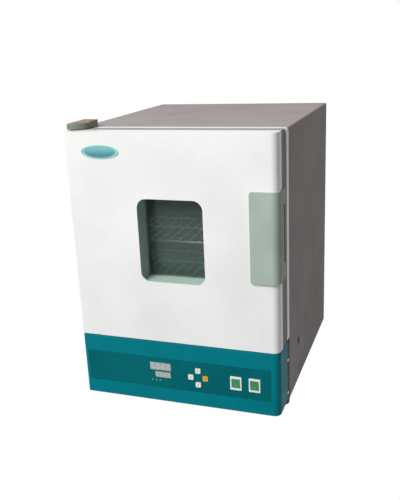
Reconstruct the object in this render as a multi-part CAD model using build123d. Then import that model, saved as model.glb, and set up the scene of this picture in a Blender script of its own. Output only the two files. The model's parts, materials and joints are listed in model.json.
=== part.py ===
from build123d import *
import os
from math import acos, atan2, cos, degrees, hypot, radians, sin

# Bench-top laboratory drying oven. Millimetres, +Z up, the door faces -Y.
# The origin is the middle of the overall box, on the surface that the feet stand on.

# Cabinet
CABINET_W = 440.0          # outer width of the sheet-metal cabinet
CABINET_H = 575.5          # underside of the base to the roof
SHELL_D = 439.0            # grey shell, front to back
FRAME_D = 18.0             # white front frame, front to back
BASE_H = 127.5             # base compartment, up to the seam in the side
SHEET = 1.5                # cabinet sheet
BEND_R = 4.0               # outside radius of the shell's roof bends
BASE_BEND_R = 2.5          # bend along the base's upper edge, which shows as the seam
FLANGE = 22.0              # inward flanges of the base and of the shell's rear edge
HEM = 14.0                 # inward hem along the shell's lower edge
FRAME_CORNER_R = 6.0
FIT_GAP = 0.3              # parts that sit in one another without touching

# Feet
FOOT_H = 22.0
FOOT_TOP_R = 17.0
FOOT_BOTTOM_R = 15.0
FOOT_INSET_X = 20.0        # front pair, from the cabinet's sides
FOOT_INSET_REAR_X = 48.0
FOOT_INSET_FRONT = 20.0
FOOT_INSET_REAR = 45.0
FOOT_SCREW_R = 2.5
FOOT_RECESS_R = 6.5
FOOT_RECESS_H = 6.0

# Chamber
CHAMBER_FLOOR = 198.5      # above the underside of the base
SIDE_WALL = 60.0           # cabinet's side to the chamber
ROOF_WALL = 57.0           # chamber's ceiling to the roof
REAR_BAY = 180.0           # liner's rear wall to the shell's rear edge
CHAMBER_W = CABINET_W - 2 * SIDE_WALL
CHAMBER_H = CABINET_H - CHAMBER_FLOOR - ROOF_WALL
CHAMBER_D = FRAME_D + SHELL_D - REAR_BAY     # front frame to the liner's rear wall
CHAMBER_R = 25.0           # rounded long edges of the liner
LINER_T = 1.2
LINER_LIP = 14.0
BAFFLE_TO_REAR = 50.0      # air duct behind the baffle
BAFFLE_T = 1.2
BAFFLE_SLOT_L = 22.0
BAFFLE_SLOT_W = 6.0
BAFFLE_INLET_R = 40.0      # middle of the slots in front of the fan
BAFFLE_RAYS = 16
BAFFLE_ROWS = 8            # outlets up each side
BAFFLE_ROW_PITCH = 30.0
INSULATION_D = 48.0        # behind the liner
BULKHEAD_T = 1.5

# Door
SIDE_INSET = 2.0           # door and control panel stand in from the cabinet's sides
DOOR_OVER_ROOF = 1.0
DOOR_GAP = 2.3             # between the control panel and the door
EDGE_R = 14.0              # right upright front edge of door and control panel
LEFT_EDGE_R = 4.0          # left one
SKIN_D = 28.0
SKIN_T = 1.2
INNER_SHELL_D = 29.0
INNER_SHELL_T = 1.2
INNER_SHELL_FLANGE = 60.0
GASKET_GAP = 5.0           # closed door to the frame
GASKET_W = 12.0
GASKET_R = 30.0
INNER_PANEL_T = 1.2
INNER_PANEL_LAP = 16.0     # inner panel beyond the chamber opening, each side
WINDOW_W = 138.0
WINDOW_H = 173.0
WINDOW_R = 20.0
WINDOW_LIP = 3.0
WELL_D = 45.0              # door face to the outer pane
WELL_T = 1.2
WELL_RIM = 8.0
GLASS_T = 4.0
SPACER_T = 4.0

# Door handle
HANDLE_W = 55.5            # from the door's side inwards, on the door's face
HANDLE_LIFT = 17.6         # handle's middle above the door's
HANDLE_H = 181.5
HANDLE_PROUD = 4.0         # in front of the door
HANDLE_R = 6.0
HANDLE_REAR_R = 9.0
HANDLE_BACK_INSET = 1.5    # handle's rear edge to the door's rear face
GRIP_W = 12.0              # finger slot, front to back
GRIP_H = 117.0
GRIP_DEPTH = 24.0
GRIP_FROM_FRONT = 37.0
GRIP_LIFT = 1.0            # slot's middle above the handle's middle
GRIP_WALL = 2.0

# Oval plate on the door, left bare
BADGE_W = 82.0
BADGE_H = 27.0
BADGE_IN = 78.0            # from the door's left side
BADGE_DOWN = 39.5          # below the door's top edge
BADGE_T = 1.2
BADGE_RIM = 3.0
BADGE_RIM_T = 0.6

# Door hinge
PIVOT_IN_X = 12.0          # from the door's left side
PIVOT_IN_Y = 20.0          # from the door's face
PIN_R = 4.0
PIN_L = 18.0
PIN_PLAY = 0.05
BUSH_T = 2.5
HINGE_SIDE = 2.0           # hinge cover, in from the cabinet's side
HINGE_W = 39.0
HINGE_D = 76.0
HINGE_H = 11.7
HINGE_FRONT = 13.0         # behind the door's face
HINGE_NOSE_D = 35.0
HINGE_LIFT = 1.8           # above the door's top
HINGE_NOSE_R = 32.0
HINGE_CORNER_R = 6.0
HINGE_TOP_R = 3.0
HINGE_STEP = 4.0           # rear part narrower than the nose
LOWER_HINGE_T = 4.0
LOWER_HINGE_W = 30.0
WASHER_R = 9.0

# Door catches
CATCH_W = 12.0
CATCH_H = 40.0
CATCH_D = 12.0
CATCH_FROM_EDGE = 19.0
CATCH_Z = 120.0            # above and below the door's middle
CATCH_PLATE_T = 1.7
CATCH_GAP = 0.3

# Control panel
PANEL_H = 138.5
PANEL_T = 2.5
PANEL_REAR_GAP = 0.5
PANEL_EDGE_R = 1.5
FILM_IN_LEFT = 8.0
FILM_IN_RIGHT = 18.0
FILM_Z0 = 32.0
FILM_Z1 = 102.0
FILM_T = 0.6
FILM_RECESS = 0.5
FILM_R = 3.0
BOARD_GAP = 13.5           # panel's front wall to the controller board
BOARD_T = 1.6
BOARD_W = 144.0
BOARD_H = 62.0
BOARD_RELAYS = 2
BOARD_RELAY_X = -45.0      # first relay's middle
BOARD_RELAY_PITCH = 30.0
BOARD_RELAY_W = 19.0
BOARD_RELAY_D = 15.0
BOSS_R = 3.5
BOSS_INSET = 5.0
UPPER_DISPLAY_X = -40.5
UPPER_DISPLAY_Z = 81.75
UPPER_DISPLAY_W = 47.0
UPPER_DISPLAY_H = 17.5
LOWER_DISPLAY_X = -35.5
LOWER_DISPLAY_Z = 63.0
LOWER_DISPLAY_W = 35.0
LOWER_DISPLAY_H = 13.0
LAMP_X = -51.3
LAMP_Z = 49.5
LAMP_PITCH = 8.7
LAMP_R = 1.5
KEYS_X = 44.0
KEYS_Z = 66.3
KEY_PITCH = 16.0           # from the middle of the cross to each key
KEY_W = 11.5
KEY_R = 1.8
KEY_PROUD = 1.4
KEY_PLAY = 0.3
KEY_FLANGE = 1.2
KEY_FLANGE_T = 1.0
KEY_TRAVEL = 1.0
KEY_STEM_R = 2.5
TACT_W = 6.0
TACT_H = 3.5
SWITCH_IN = 92.0            # left rocker's middle from the panel's right side
SWITCH_PITCH = 39.5
SWITCH_Z = 65.0
BEZEL_W = 24.0
BEZEL_H = 30.0
BEZEL_PROUD = 1.5
BEZEL_R = 1.5
SWITCH_BODY_W = 21.0
SWITCH_BODY_H = 26.5
SWITCH_BODY_D = 22.0
ROCKER_W = 17.5
ROCKER_H = 19.5
ROCKER_PLAY = 0.4
ROCKER_ANGLE = 8.0         # each way from level
ROCKER_CROWN = 10.0        # slope of each half of the rocker's face
ROCKER_PROUD = -0.2      # valley of the rocker to the bezel's face
ROCKER_DEPTH = 7.0
ROCKER_PIVOT_D = 4.0       # rocker's axis behind the bezel's face
ROCKER_PIN_R = 1.5
PIN_WALL = 0.6             # housing wall left outside the rocker's pins

# Fasteners
SCREW_HEAD_R = 3.5
SCREW_HEAD_H = 1.5
SCREW_R = 2.0
SCREW_L = 8.0
SCREW_SEGMENT = 0.2        # slack of a screw in its clearance hole
PANEL_SCREW_ZS = (19.0, 95.0)
PANEL_SCREW_BACK = 10.0    # panel's rear edge to its side screws
PANEL_TAB_D = 22.0
PANEL_TAB_W = 116.0
DOOR_SCREW_INSET = 8.5

# Side access cover
COVER_FRONT = 6.0          # behind the base's front edge
COVER_D = 182.0
COVER_Z0 = 22.0
COVER_H = 96.0
COVER_T = 1.3
COVER_GAP = 0.4
COVER_FRAME = 8.0
PORT_FROM_FRONT = 96.0     # port's middle behind the base's front edge
PORT_Z = 91.0
PORT_R = 9.5
PORT_BORE_R = 6.0
PORT_FLANGE_R = 11.5
PORT_FLANGE_T = 0.6
PORT_L = 8.0
COVER_TAB_W = 14.0

# Shelves and their racks
SHELF_LEVELS = 6
SHELF_FIRST = 46.5         # lowest ledge above the chamber floor
SHELF_LAST = 68.5          # highest ledge below the chamber's ceiling
SHELF_PITCH = (CHAMBER_H - SHELF_FIRST - SHELF_LAST) / (SHELF_LEVELS - 1)
LOWER_SHELF_LEVEL = 0
UPPER_SHELF_LEVEL = 2
RACK_T = 1.5
RACK_LEDGE = 11.0
RACK_FRONT = 35.0          # chamber mouth to the rack
RACK_REAR = 2.0            # rack to the baffle
RACK_D = CHAMBER_D - RACK_FRONT - BAFFLE_TO_REAR - RACK_REAR
POST_W = 12.0
SHELF_END_PLAY = 2.0
SHELF_D = RACK_D - 2 * SHELF_END_PLAY
SHELF_BAR_BACK = 78.0      # cross bar to the shelf's rear
SHELF_BAR = SHELF_D - SHELF_BAR_BACK
SHELF_FRAME_R = 2.5
SHELF_WIRE_R = 1.5
SHELF_WIRES = 13
SHELF_CORNER_R = 10.0
SHELF_SIDE_PLAY = 1.0
SHELF_REST_GAP = 0.3
SHELF_TRAVEL = 28.0

# Fan
WHEEL_R = 75.0
WHEEL_D = 28.0
WHEEL_DISC_T = 1.5
WHEEL_EYE_R = 50.0
BLADES = 12
BLADE_T = 1.2
BLADE_IN_R = 46.0
BLADE_TURN = 24.0          # degrees between a blade's inner and outer ends
WHEEL_FRONT_GAP = 8.0      # behind the baffle
HUB_R = 9.0
HUB_L = 20.0
SHAFT_R = 4.0
SHAFT_PLAY = 0.05
SHAFT_CLEAR = 3.0
MOTOR_R = 42.0
MOTOR_L = 62.0
MOTOR_GAP = 14.0           # bulkhead to the motor
MOTOR_BELL = 12.0
MOTOR_BELL_R = 30.0
MOTOR_FINS = 16
MOTOR_FIN = 2.5
BRACKET_T = 2.0
BRACKET_W = 110.0
BRACKET_FOOT = 16.0

# Heater, probe and exhaust
HEATER_R = 104.0
HEATER_TUBE_R = 4.0
HEATER_GAP_DEG = 40.0
HEATER_BEND_R = 12.0
HEATER_FROM_BAFFLE = 24.0
HEATER_FERRULE_R = 8.0
HEATER_FERRULE_T = 3.0
HEATER_LEG = 62.0          # behind the liner's rear wall
PROBE_IN_X = 42.0          # from the chamber's right wall
PROBE_DOWN = 58.0          # below the chamber's ceiling
PROBE_R = 2.5
PROBE_IN = 55.0            # in front of the baffle
PROBE_OUT = 60.0
PROBE_COLLAR_R = 7.0
PROBE_COLLAR_T = 4.0
EXHAUST_DOWN = 30.0        # below the chamber's ceiling
EXHAUST_X = 0.0
EXHAUST_R = 16.5
EXHAUST_T = 1.5
EXHAUST_OUT = 30.0         # behind the rear cover
SPIGOT_L = 16.0            # hose end, behind the bead that stops the hose
BEAD_R = 18.5
BEAD_T = 2.0
EXHAUST_FLANGE_R = 23.0
EXHAUST_FLANGE_T = 1.5
DAMPER_FROM_COVER = 9.0
DAMPER_T = 1.5
DAMPER_PLAY = 0.5
SPINDLE_R = 2.0
SPINDLE_PLAY = 0.08
SPINDLE_OUT = 14.0
LEVER_L = 23.0
LEVER_T = 2.5
LEVER_W = 7.0

# Rear cover and what is on the base's rear wall
REAR_LAP = 12.0
LOUVRE_COLUMNS = 2
LOUVRE_ROWS = 7
LOUVRE_W = 84.0
LOUVRE_PITCH = 22.0
LOUVRE_H = 9.0
LOUVRE_OUT = 6.0
LOUVRE_SHEET = 1.2
LOUVRE_IN = 100.0          # from the cabinet's side to a column's middle
LOUVRE_Z0 = 62.0           # lowest louvre above the seam
INLET_IN = 70.0            # from the cabinet's side
INLET_Z = 62.0
INLET_W = 48.0
INLET_H = 28.0
INLET_FLANGE_T = 3.0
INLET_BODY_W = 27.5
INLET_BODY_H = 20.0
INLET_BODY_D = 20.0
INLET_SOCKET_W = 24.0
INLET_SOCKET_H = 16.0
INLET_SOCKET_D = 16.0
PRONG_W = 2.0
PRONG_H = 4.0
PRONG_L = 14.0
PRONG_PITCH = 7.0
PRONG_UP = 2.5
FUSE_FROM_INLET = 58.0
FUSE_PITCH = 24.0
FUSE_R = 7.5
FUSE_BODY_R = 6.0
FUSE_CAP_H = 8.0
FUSE_BODY_L = 26.0
RELAY_X = -60.0
RELAY_W = 45.0
RELAY_D = 58.0
RELAY_H = 23.0
RELAY_BACK = 90.0          # from the base's front edge
RELAY_PLATE = 2.0
RELAY_PLATE_LAP = 10.0     # plate in front of and behind the relay
BASE_SLOTS = 9
BASE_SLOT_W = 5.0
BASE_SLOT_L = 120.0
BASE_SLOT_PITCH = 15.0
WIRE_WINDOW_IN = 90.0      # from the cabinet's side
WIRE_WINDOW_H = 60.0

# Positions worked out from the sizes above
DOOR_T = SKIN_D + INNER_SHELL_D
REAR_OUT = SHEET + EXHAUST_OUT
TOTAL_D = HANDLE_PROUD + DOOR_T + GASKET_GAP + FRAME_D + SHELL_D + REAR_OUT
FACE_Y = HANDLE_PROUD - TOTAL_D / 2           # face of the door and control panel
DOOR_REAR_Y = FACE_Y + DOOR_T
FRAME_Y = DOOR_REAR_Y + GASKET_GAP            # front of the white frame
SHELL_Y = FRAME_Y + FRAME_D
REAR_Y = SHELL_Y + SHELL_D
BASE_Z = FOOT_H
SEAM_Z = BASE_Z + BASE_H
PANEL_TOP = BASE_Z + PANEL_H
ROOF_Z = BASE_Z + CABINET_H
DOOR_Z0 = PANEL_TOP + DOOR_GAP
DOOR_Z1 = ROOF_Z + DOOR_OVER_ROOF
DOOR_MID = (DOOR_Z0 + DOOR_Z1) / 2
HALF_W = CABINET_W / 2
DOOR_X = HALF_W - SIDE_INSET
FLOOR_Z = BASE_Z + CHAMBER_FLOOR
CEILING_Z = FLOOR_Z + CHAMBER_H
CHAMBER_X = CHAMBER_W / 2
CHAMBER_MID = (FLOOR_Z + CEILING_Z) / 2
LINER_REAR = FRAME_Y + CHAMBER_D              # inner face of the liner's rear wall
BAFFLE_Y = LINER_REAR - BAFFLE_TO_REAR
BULKHEAD_Y = LINER_REAR + LINER_T + INSULATION_D
PIVOT_X = PIVOT_IN_X - DOOR_X
PIVOT_Y = FACE_Y + PIVOT_IN_Y
PANEL_REAR = SHELL_Y - PANEL_REAR_GAP
BOARD_Y = FACE_Y + PANEL_T + BOARD_GAP
FILM_FACE = FACE_Y + FILM_RECESS - FILM_T
FILM_X0 = FILM_IN_LEFT - DOOR_X
FILM_X1 = DOOR_X - FILM_IN_RIGHT
SWITCH_XS = (DOOR_X - SWITCH_IN, DOOR_X - SWITCH_IN + SWITCH_PITCH)
GLASS_Y = FACE_Y + WELL_D
BADGE_X = BADGE_IN - DOOR_X
HANDLE_Z0 = DOOR_MID + HANDLE_LIFT - HANDLE_H / 2 - BASE_Z    # above the underside of the base
COVER_Y0 = SHELL_Y + COVER_FRONT
PORT_Y = SHELL_Y + PORT_FROM_FRONT
EXHAUST_Z = CEILING_Z - EXHAUST_DOWN
PROBE_X = CHAMBER_X - PROBE_IN_X
PROBE_Z = CEILING_Z - PROBE_DOWN
LOUVRE_X = HALF_W - LOUVRE_IN
INLET_X = HALF_W - INLET_IN
FUSE_XS = (INLET_X - FUSE_FROM_INLET, INLET_X - FUSE_FROM_INLET - FUSE_PITCH)
WIRE_WINDOW_X = HALF_W - WIRE_WINDOW_IN
WHEEL_Y = BAFFLE_Y + BAFFLE_T + WHEEL_FRONT_GAP
MOTOR_Y = BULKHEAD_Y + BULKHEAD_T + MOTOR_GAP
COVER_FACE = REAR_Y + SHEET                   # outside of the rear cover
DAMPER_Y = COVER_FACE + DAMPER_FROM_COVER


def block(x0, x1, y0, y1, z0, z1):
    """Box between two opposite corners."""
    return Pos((x0 + x1) / 2, (y0 + y1) / 2, (z0 + z1) / 2) * Box(x1 - x0, y1 - y0, z1 - z0)


def prism_y(sketch, y0, y1):
    """Outline drawn in x and z, between two planes across Y."""
    return extrude(Plane(origin=(0, y1, 0), x_dir=(1, 0, 0), z_dir=(0, -1, 0)) * sketch, y1 - y0)


def prism_z(sketch, z0, z1):
    """Outline drawn in x and y, between two levels."""
    return Pos(0, 0, z0) * extrude(sketch, z1 - z0)


def prism_x(sketch, x0, x1):
    """Outline drawn in y and z, between two planes across X."""
    return extrude(Plane(origin=(x0, 0, 0), x_dir=(0, 1, 0), z_dir=(1, 0, 0)) * sketch, x1 - x0)


def rounded(x0, x1, z0, z1, radius):
    """Rectangle with round corners between two opposite corners."""
    return Pos((x0 + x1) / 2, (z0 + z1) / 2) * RectangleRounded(x1 - x0, z1 - z0, radius)


def rod_y(x, z, y0, y1, radius):
    """Round bar along Y."""
    return prism_y(Pos(x, z) * Circle(radius), y0, y1)


def rod_x(y, z, x0, x1, radius):
    """Round bar along X."""
    return prism_x(Pos(y, z) * Circle(radius), x0, x1)


def rod_z(x, y, z0, z1, radius):
    """Round bar along Z."""
    return prism_z(Pos(x, y) * Circle(radius), z0, z1)


def front_plan(half_width, y0, y1, radius):
    """Plan of a casing whose two upright front edges are rounded, the left one less."""
    plan = Pos(0, (y0 + y1) / 2) * Rectangle(2 * half_width, y1 - y0)
    plan = fillet(plan.vertices().group_by(Axis.Y)[0].sort_by(Axis.X)[-1], radius)
    left = plan.vertices().group_by(Axis.X)[0].sort_by(Axis.Y)[0]
    return fillet(left, radius - EDGE_R + LEFT_EDGE_R)


def screw_y(x, z, seat_y, outward):
    """Pan-head screw along Y: its head stands out of seat_y on the side of outward."""
    head = rod_y(x, z, min(seat_y, seat_y + outward * SCREW_HEAD_H),
                 max(seat_y, seat_y + outward * SCREW_HEAD_H), SCREW_HEAD_R)
    shank = rod_y(x, z, min(seat_y, seat_y - outward * SCREW_L),
                  max(seat_y, seat_y - outward * SCREW_L), SCREW_R)
    return head + shank


def screw_x(y, z, seat_x, outward):
    """Pan-head screw along X: its head stands out of seat_x on the side of outward."""
    head = rod_x(y, z, min(seat_x, seat_x + outward * SCREW_HEAD_H),
                 max(seat_x, seat_x + outward * SCREW_HEAD_H), SCREW_HEAD_R)
    shank = rod_x(y, z, min(seat_x, seat_x - outward * SCREW_L),
                  max(seat_x, seat_x - outward * SCREW_L), SCREW_R)
    return head + shank


def rear_screw_places():
    """Screws along the rear cover's two upright edges, as (x, z)."""
    x = HALF_W - SHEET - FLANGE / 2
    lift = 24.0
    span = ROOF_Z - SEAM_Z - 2 * lift
    return [(side * x, SEAM_Z + lift + step * span / 2) for side in (-1, 1) for step in range(3)]


# Cabinet


def outer_shell():
    """Roof and two sides, bent from one sheet, with inward flanges at the rear and below."""
    side = HALF_W - SHEET
    outer = block(-HALF_W, HALF_W, SHELL_Y, REAR_Y, SEAM_Z, ROOF_Z)
    outer = fillet(outer.edges().filter_by(Axis.Y).group_by(Axis.Z)[-1], BEND_R)
    inner = block(-side, side, SHELL_Y - 1, REAR_Y - SHEET, SEAM_Z - 1, ROOF_Z - SHEET)
    inner = fillet(inner.edges().filter_by(Axis.Y).group_by(Axis.Z)[-1], BEND_R - SHEET)
    shell = outer - inner
    shell -= block(FLANGE - side, side - FLANGE, REAR_Y - 2 * SHEET, REAR_Y + 1,
                   SEAM_Z - 1, ROOF_Z - SHEET - FLANGE)
    for sign in (-1, 1):
        edge, lip = sign * HALF_W, sign * (HALF_W - HEM)
        shell += block(min(edge, lip), max(edge, lip), SHELL_Y, REAR_Y, SEAM_Z, SEAM_Z + SHEET)
    for x, z in rear_screw_places():
        shell -= rod_y(x, z, REAR_Y - 2 * SHEET, REAR_Y + 1, SCREW_R + SCREW_SEGMENT)
    return shell


def front_frame():
    """White front of the cabinet: a face round the chamber mouth and a folded rim."""
    z0 = PANEL_TOP + FIT_GAP
    rim = prism_y(rounded(-HALF_W, HALF_W, z0, ROOF_Z, FRAME_CORNER_R), FRAME_Y, SHELL_Y)
    rim -= prism_y(rounded(SHEET - HALF_W, HALF_W - SHEET, z0 + SHEET, ROOF_Z - SHEET,
                           FRAME_CORNER_R - SHEET), FRAME_Y + SHEET, SHELL_Y + 1)
    mouth = rounded(-CHAMBER_X, CHAMBER_X, FLOOR_Z, CEILING_Z, CHAMBER_R)
    frame = rim - prism_y(mouth, FRAME_Y - 1, FRAME_Y + 2 * SHEET)
    for x, z in catch_places():
        frame -= block(x - CATCH_W / 2 - FIT_GAP, x + CATCH_W / 2 + FIT_GAP, FRAME_Y - 1,
                       FRAME_Y + 2 * SHEET, z - CATCH_H / 2 - FIT_GAP, z + CATCH_H / 2 + FIT_GAP)
    return frame


def base_chassis():
    """Folded tray below the chamber that carries the feet and the electrical parts."""
    side = HALF_W - SHEET
    outer = block(-HALF_W, HALF_W, SHELL_Y, REAR_Y, BASE_Z, SEAM_Z)
    outer = fillet(outer.edges().filter_by(Axis.Y).group_by(Axis.Z)[-1], BASE_BEND_R)
    tray = outer - block(-side, side, SHELL_Y + SHEET, REAR_Y - SHEET, BASE_Z + SHEET,
                         SEAM_Z - SHEET)
    tray -= block(FLANGE - HALF_W, HALF_W - FLANGE, SHELL_Y + FLANGE, REAR_Y - FLANGE,
                  SEAM_Z - 2 * SHEET, SEAM_Z + 1)
    middle = (BASE_Z + SEAM_Z) / 2
    tray -= block(-WIRE_WINDOW_X, WIRE_WINDOW_X, SHELL_Y - 1, SHELL_Y + 2 * SHEET,
                  middle - WIRE_WINDOW_H / 2, middle + WIRE_WINDOW_H / 2)
    cover = cover_outline()
    tray -= prism_x(offset(cover, COVER_GAP), HALF_W - SHEET - 1, HALF_W + 1)
    seat = offset(cover, COVER_GAP + COVER_FRAME, kind=Kind.INTERSECTION)
    seat -= offset(cover, -COVER_FRAME, kind=Kind.INTERSECTION)
    tray += prism_x(seat, side - SHEET, side) & block(0, HALF_W, SHELL_Y, REAR_Y, BASE_Z, SEAM_Z)
    inlet = rounded(INLET_X - INLET_BODY_W / 2 - FIT_GAP, INLET_X + INLET_BODY_W / 2 + FIT_GAP,
                    BASE_Z + INLET_Z - INLET_BODY_H / 2 - FIT_GAP,
                    BASE_Z + INLET_Z + INLET_BODY_H / 2 + FIT_GAP, 3)
    tray -= prism_y(inlet, REAR_Y - 2 * SHEET, REAR_Y + 1)
    for x in FUSE_XS:
        tray -= rod_y(x, BASE_Z + INLET_Z, REAR_Y - 2 * SHEET, REAR_Y + 1, FUSE_BODY_R + FIT_GAP)
    first = -(BASE_SLOTS - 1) / 2 * BASE_SLOT_PITCH
    slot_mid = (SHELL_Y + REAR_Y) / 2
    for number in range(BASE_SLOTS):
        x = first + number * BASE_SLOT_PITCH
        tray -= block(x - BASE_SLOT_W / 2, x + BASE_SLOT_W / 2, slot_mid - BASE_SLOT_L / 2,
                      slot_mid + BASE_SLOT_L / 2, BASE_Z - 1, BASE_Z + 2 * SHEET)
    for x, y in foot_places():
        tray -= rod_z(x, y, BASE_Z - 1, BASE_Z + 2 * SHEET, FOOT_SCREW_R + SCREW_SEGMENT)
    tab_x = DOOR_X - PANEL_T - FIT_GAP
    for sign in (-1, 1):
        inner, outer_x = sign * (tab_x - SHEET), sign * tab_x
        tray += block(min(inner, outer_x), max(inner, outer_x), SHELL_Y - PANEL_TAB_D,
                      SHELL_Y + SHEET, BASE_Z + PANEL_T + FIT_GAP, BASE_Z + PANEL_TAB_W)
        for z in PANEL_SCREW_ZS:
            tray -= rod_x(PANEL_REAR - PANEL_SCREW_BACK, BASE_Z + z, min(inner, outer_x) - 1,
                          max(inner, outer_x) + 1, SCREW_R + SCREW_SEGMENT)
    return tray


def rear_bulkhead():
    """Sheet behind the insulation, which closes it off and carries the motor."""
    side = HALF_W - SHEET
    sheet = block(-side, side, BULKHEAD_Y, BULKHEAD_Y + BULKHEAD_T, SEAM_Z + SHEET,
                  ROOF_Z - SHEET - BEND_R)
    fold = block(BEND_R - side, side - BEND_R, BULKHEAD_Y, BULKHEAD_Y + HEM, ROOF_Z - SHEET - BULKHEAD_T,
                 ROOF_Z - SHEET)
    neck = block(BEND_R - side, side - BEND_R, BULKHEAD_Y, BULKHEAD_Y + BULKHEAD_T,
                 ROOF_Z - SHEET - 2 * BEND_R, ROOF_Z - SHEET)
    return sheet + fold + neck - rear_wall_holes(BULKHEAD_Y - 1, BULKHEAD_Y + HEM)


def rear_wall_holes(y0, y1):
    """Holes for the fan shaft, heater legs, probe and exhaust, through a wall across Y."""
    holes = rod_y(0, CHAMBER_MID, y0, y1, SHAFT_R + SHAFT_CLEAR)
    holes += rod_y(EXHAUST_X, EXHAUST_Z, y0, y1, EXHAUST_R + FIT_GAP)
    holes += rod_y(PROBE_X, PROBE_Z, y0, y1, PROBE_R + FIT_GAP)
    for x, z in heater_ends():
        holes += rod_y(x, z, y0, y1, HEATER_TUBE_R + FIT_GAP)
    return holes


def chamber_liner():
    """Deep-drawn stainless chamber with rounded long edges and a lip behind the frame."""
    mouth_y = FRAME_Y + SHEET
    outer = rounded(-CHAMBER_X - LINER_T, CHAMBER_X + LINER_T, FLOOR_Z - LINER_T,
                    CEILING_Z + LINER_T, CHAMBER_R + LINER_T)
    inner = rounded(-CHAMBER_X, CHAMBER_X, FLOOR_Z, CEILING_Z, CHAMBER_R)
    lip = rounded(-CHAMBER_X - LINER_LIP, CHAMBER_X + LINER_LIP, FLOOR_Z - LINER_LIP,
                  CEILING_Z + LINER_LIP, CHAMBER_R + LINER_LIP)
    liner = prism_y(outer, mouth_y, LINER_REAR + LINER_T) + prism_y(lip, mouth_y, mouth_y + LINER_T)
    liner -= prism_y(inner, mouth_y - 1, LINER_REAR)
    return liner - rear_wall_holes(LINER_REAR - 1, LINER_REAR + 2 * LINER_T)


def cabinet_insulation():
    """Mineral-wool jacket round the liner, from the lip to the bulkhead."""
    gap = FIT_GAP
    side = HALF_W - SHEET - gap
    y0 = FRAME_Y + SHEET + LINER_T + gap
    bottom = PANEL_TOP + 2 * SHEET + gap
    wool = block(-side, side, y0, BULKHEAD_Y - gap, bottom, ROOF_Z - SHEET - gap)
    wool = fillet(wool.edges().filter_by(Axis.Y), FRAME_CORNER_R)
    wool += block(gap + HEM - HALF_W, HALF_W - HEM - gap, SHELL_Y + gap, BULKHEAD_Y - gap, SEAM_Z, bottom)
    cavity = rounded(-CHAMBER_X - LINER_T - gap, CHAMBER_X + LINER_T + gap,
                     FLOOR_Z - LINER_T - gap, CEILING_Z + LINER_T + gap, CHAMBER_R + LINER_T)
    wool -= prism_y(cavity, y0 - 1, LINER_REAR + LINER_T + gap)
    for x, z in catch_places():
        wool -= block(x - CATCH_W, x + CATCH_W, y0 - 1, FRAME_Y + CATCH_D, z - CATCH_H, z + CATCH_H)
    return wool - rear_wall_holes(LINER_REAR, BULKHEAD_Y)


def air_baffle():
    """Perforated plate in front of the fan: an inlet at the middle and outlets at both sides."""
    margin = FIT_GAP
    plate = rounded(margin - CHAMBER_X, CHAMBER_X - margin, FLOOR_Z + margin, CEILING_Z - margin,
                    CHAMBER_R - margin)
    slot = Rectangle(BAFFLE_SLOT_L, BAFFLE_SLOT_W)
    for ray in range(BAFFLE_RAYS):
        plate -= Pos(0, CHAMBER_MID) * Rot(0, 0, ray * 360 / BAFFLE_RAYS) * Pos(BAFFLE_INLET_R, 0) * slot
    first = CHAMBER_MID - (BAFFLE_ROWS - 1) / 2 * BAFFLE_ROW_PITCH
    for side in (-1, 1):
        for row in range(BAFFLE_ROWS):
            plate -= Pos(side * (CHAMBER_X - BAFFLE_SLOT_L), first + row * BAFFLE_ROW_PITCH) * slot
    plate -= Pos(PROBE_X, PROBE_Z) * Circle(PROBE_R + FIT_GAP)
    baffle = prism_y(plate, BAFFLE_Y, BAFFLE_Y + BAFFLE_T)
    leg = 14.0
    for side in (-1, 1):
        for z in (FLOOR_Z + CHAMBER_R + leg, CEILING_Z - CHAMBER_R - leg):
            x = side * (CHAMBER_X - margin)
            inner = x - side * BAFFLE_T
            baffle += block(min(x, inner), max(x, inner), BAFFLE_Y, LINER_REAR, z - leg / 2, z + leg / 2)
    return baffle


def rear_cover():
    """Removable sheet with pressed louvres behind the motor, and a hole for the exhaust."""
    side = HALF_W - REAR_LAP
    sheet = rounded(-side, side, SEAM_Z + 2, ROOF_Z - REAR_LAP, BEND_R)
    cover = prism_y(sheet, REAR_Y, COVER_FACE)
    hood = louvre_hood()
    for column in range(LOUVRE_COLUMNS):
        x = LOUVRE_X * (2 * column / (LOUVRE_COLUMNS - 1) - 1)
        for row in range(LOUVRE_ROWS):
            z = SEAM_Z + LOUVRE_Z0 + row * LOUVRE_PITCH
            cover -= block(x - LOUVRE_W / 2, x + LOUVRE_W / 2, REAR_Y - 1, COVER_FACE + 1,
                           z, z + LOUVRE_H)
            cover += Pos(x, COVER_FACE, z) * hood
    cover -= rod_y(EXHAUST_X, EXHAUST_Z, REAR_Y - 1, COVER_FACE + 1, EXHAUST_R + FIT_GAP)
    for x, z in rear_screw_places():
        cover -= rod_y(x, z, REAR_Y - 1, COVER_FACE + 1, SCREW_R + SCREW_SEGMENT)
    return cover


def louvre_hood():
    """One louvre: a curved hood over its slot, open below, with closed ends."""
    top = Vector(-LOUVRE_SHEET, LOUVRE_H + LOUVRE_SHEET)
    tip = Vector(LOUVRE_OUT, 0)
    swell = Vector(LOUVRE_OUT * 0.72, LOUVRE_H * 0.72)
    arc = ThreePointArc(top, swell, tip)
    back = Polyline(tip, (-LOUVRE_SHEET, 0), top)
    profile = make_face(arc + back)
    body = prism_x(profile, -LOUVRE_W / 2 - LOUVRE_SHEET, LOUVRE_W / 2 + LOUVRE_SHEET)
    hollow_top = Vector(-2 * LOUVRE_SHEET, LOUVRE_H)
    hollow_tip = Vector(LOUVRE_OUT - LOUVRE_SHEET, -1)
    hollow_swell = Vector((LOUVRE_OUT - LOUVRE_SHEET) * 0.72, LOUVRE_H * 0.66)
    hollow_arc = ThreePointArc(hollow_top, hollow_swell, hollow_tip)
    hollow_back = Polyline(hollow_tip, (-2 * LOUVRE_SHEET, -1), hollow_top)
    return body - prism_x(make_face(hollow_arc + hollow_back), -LOUVRE_W / 2, LOUVRE_W / 2)


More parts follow.
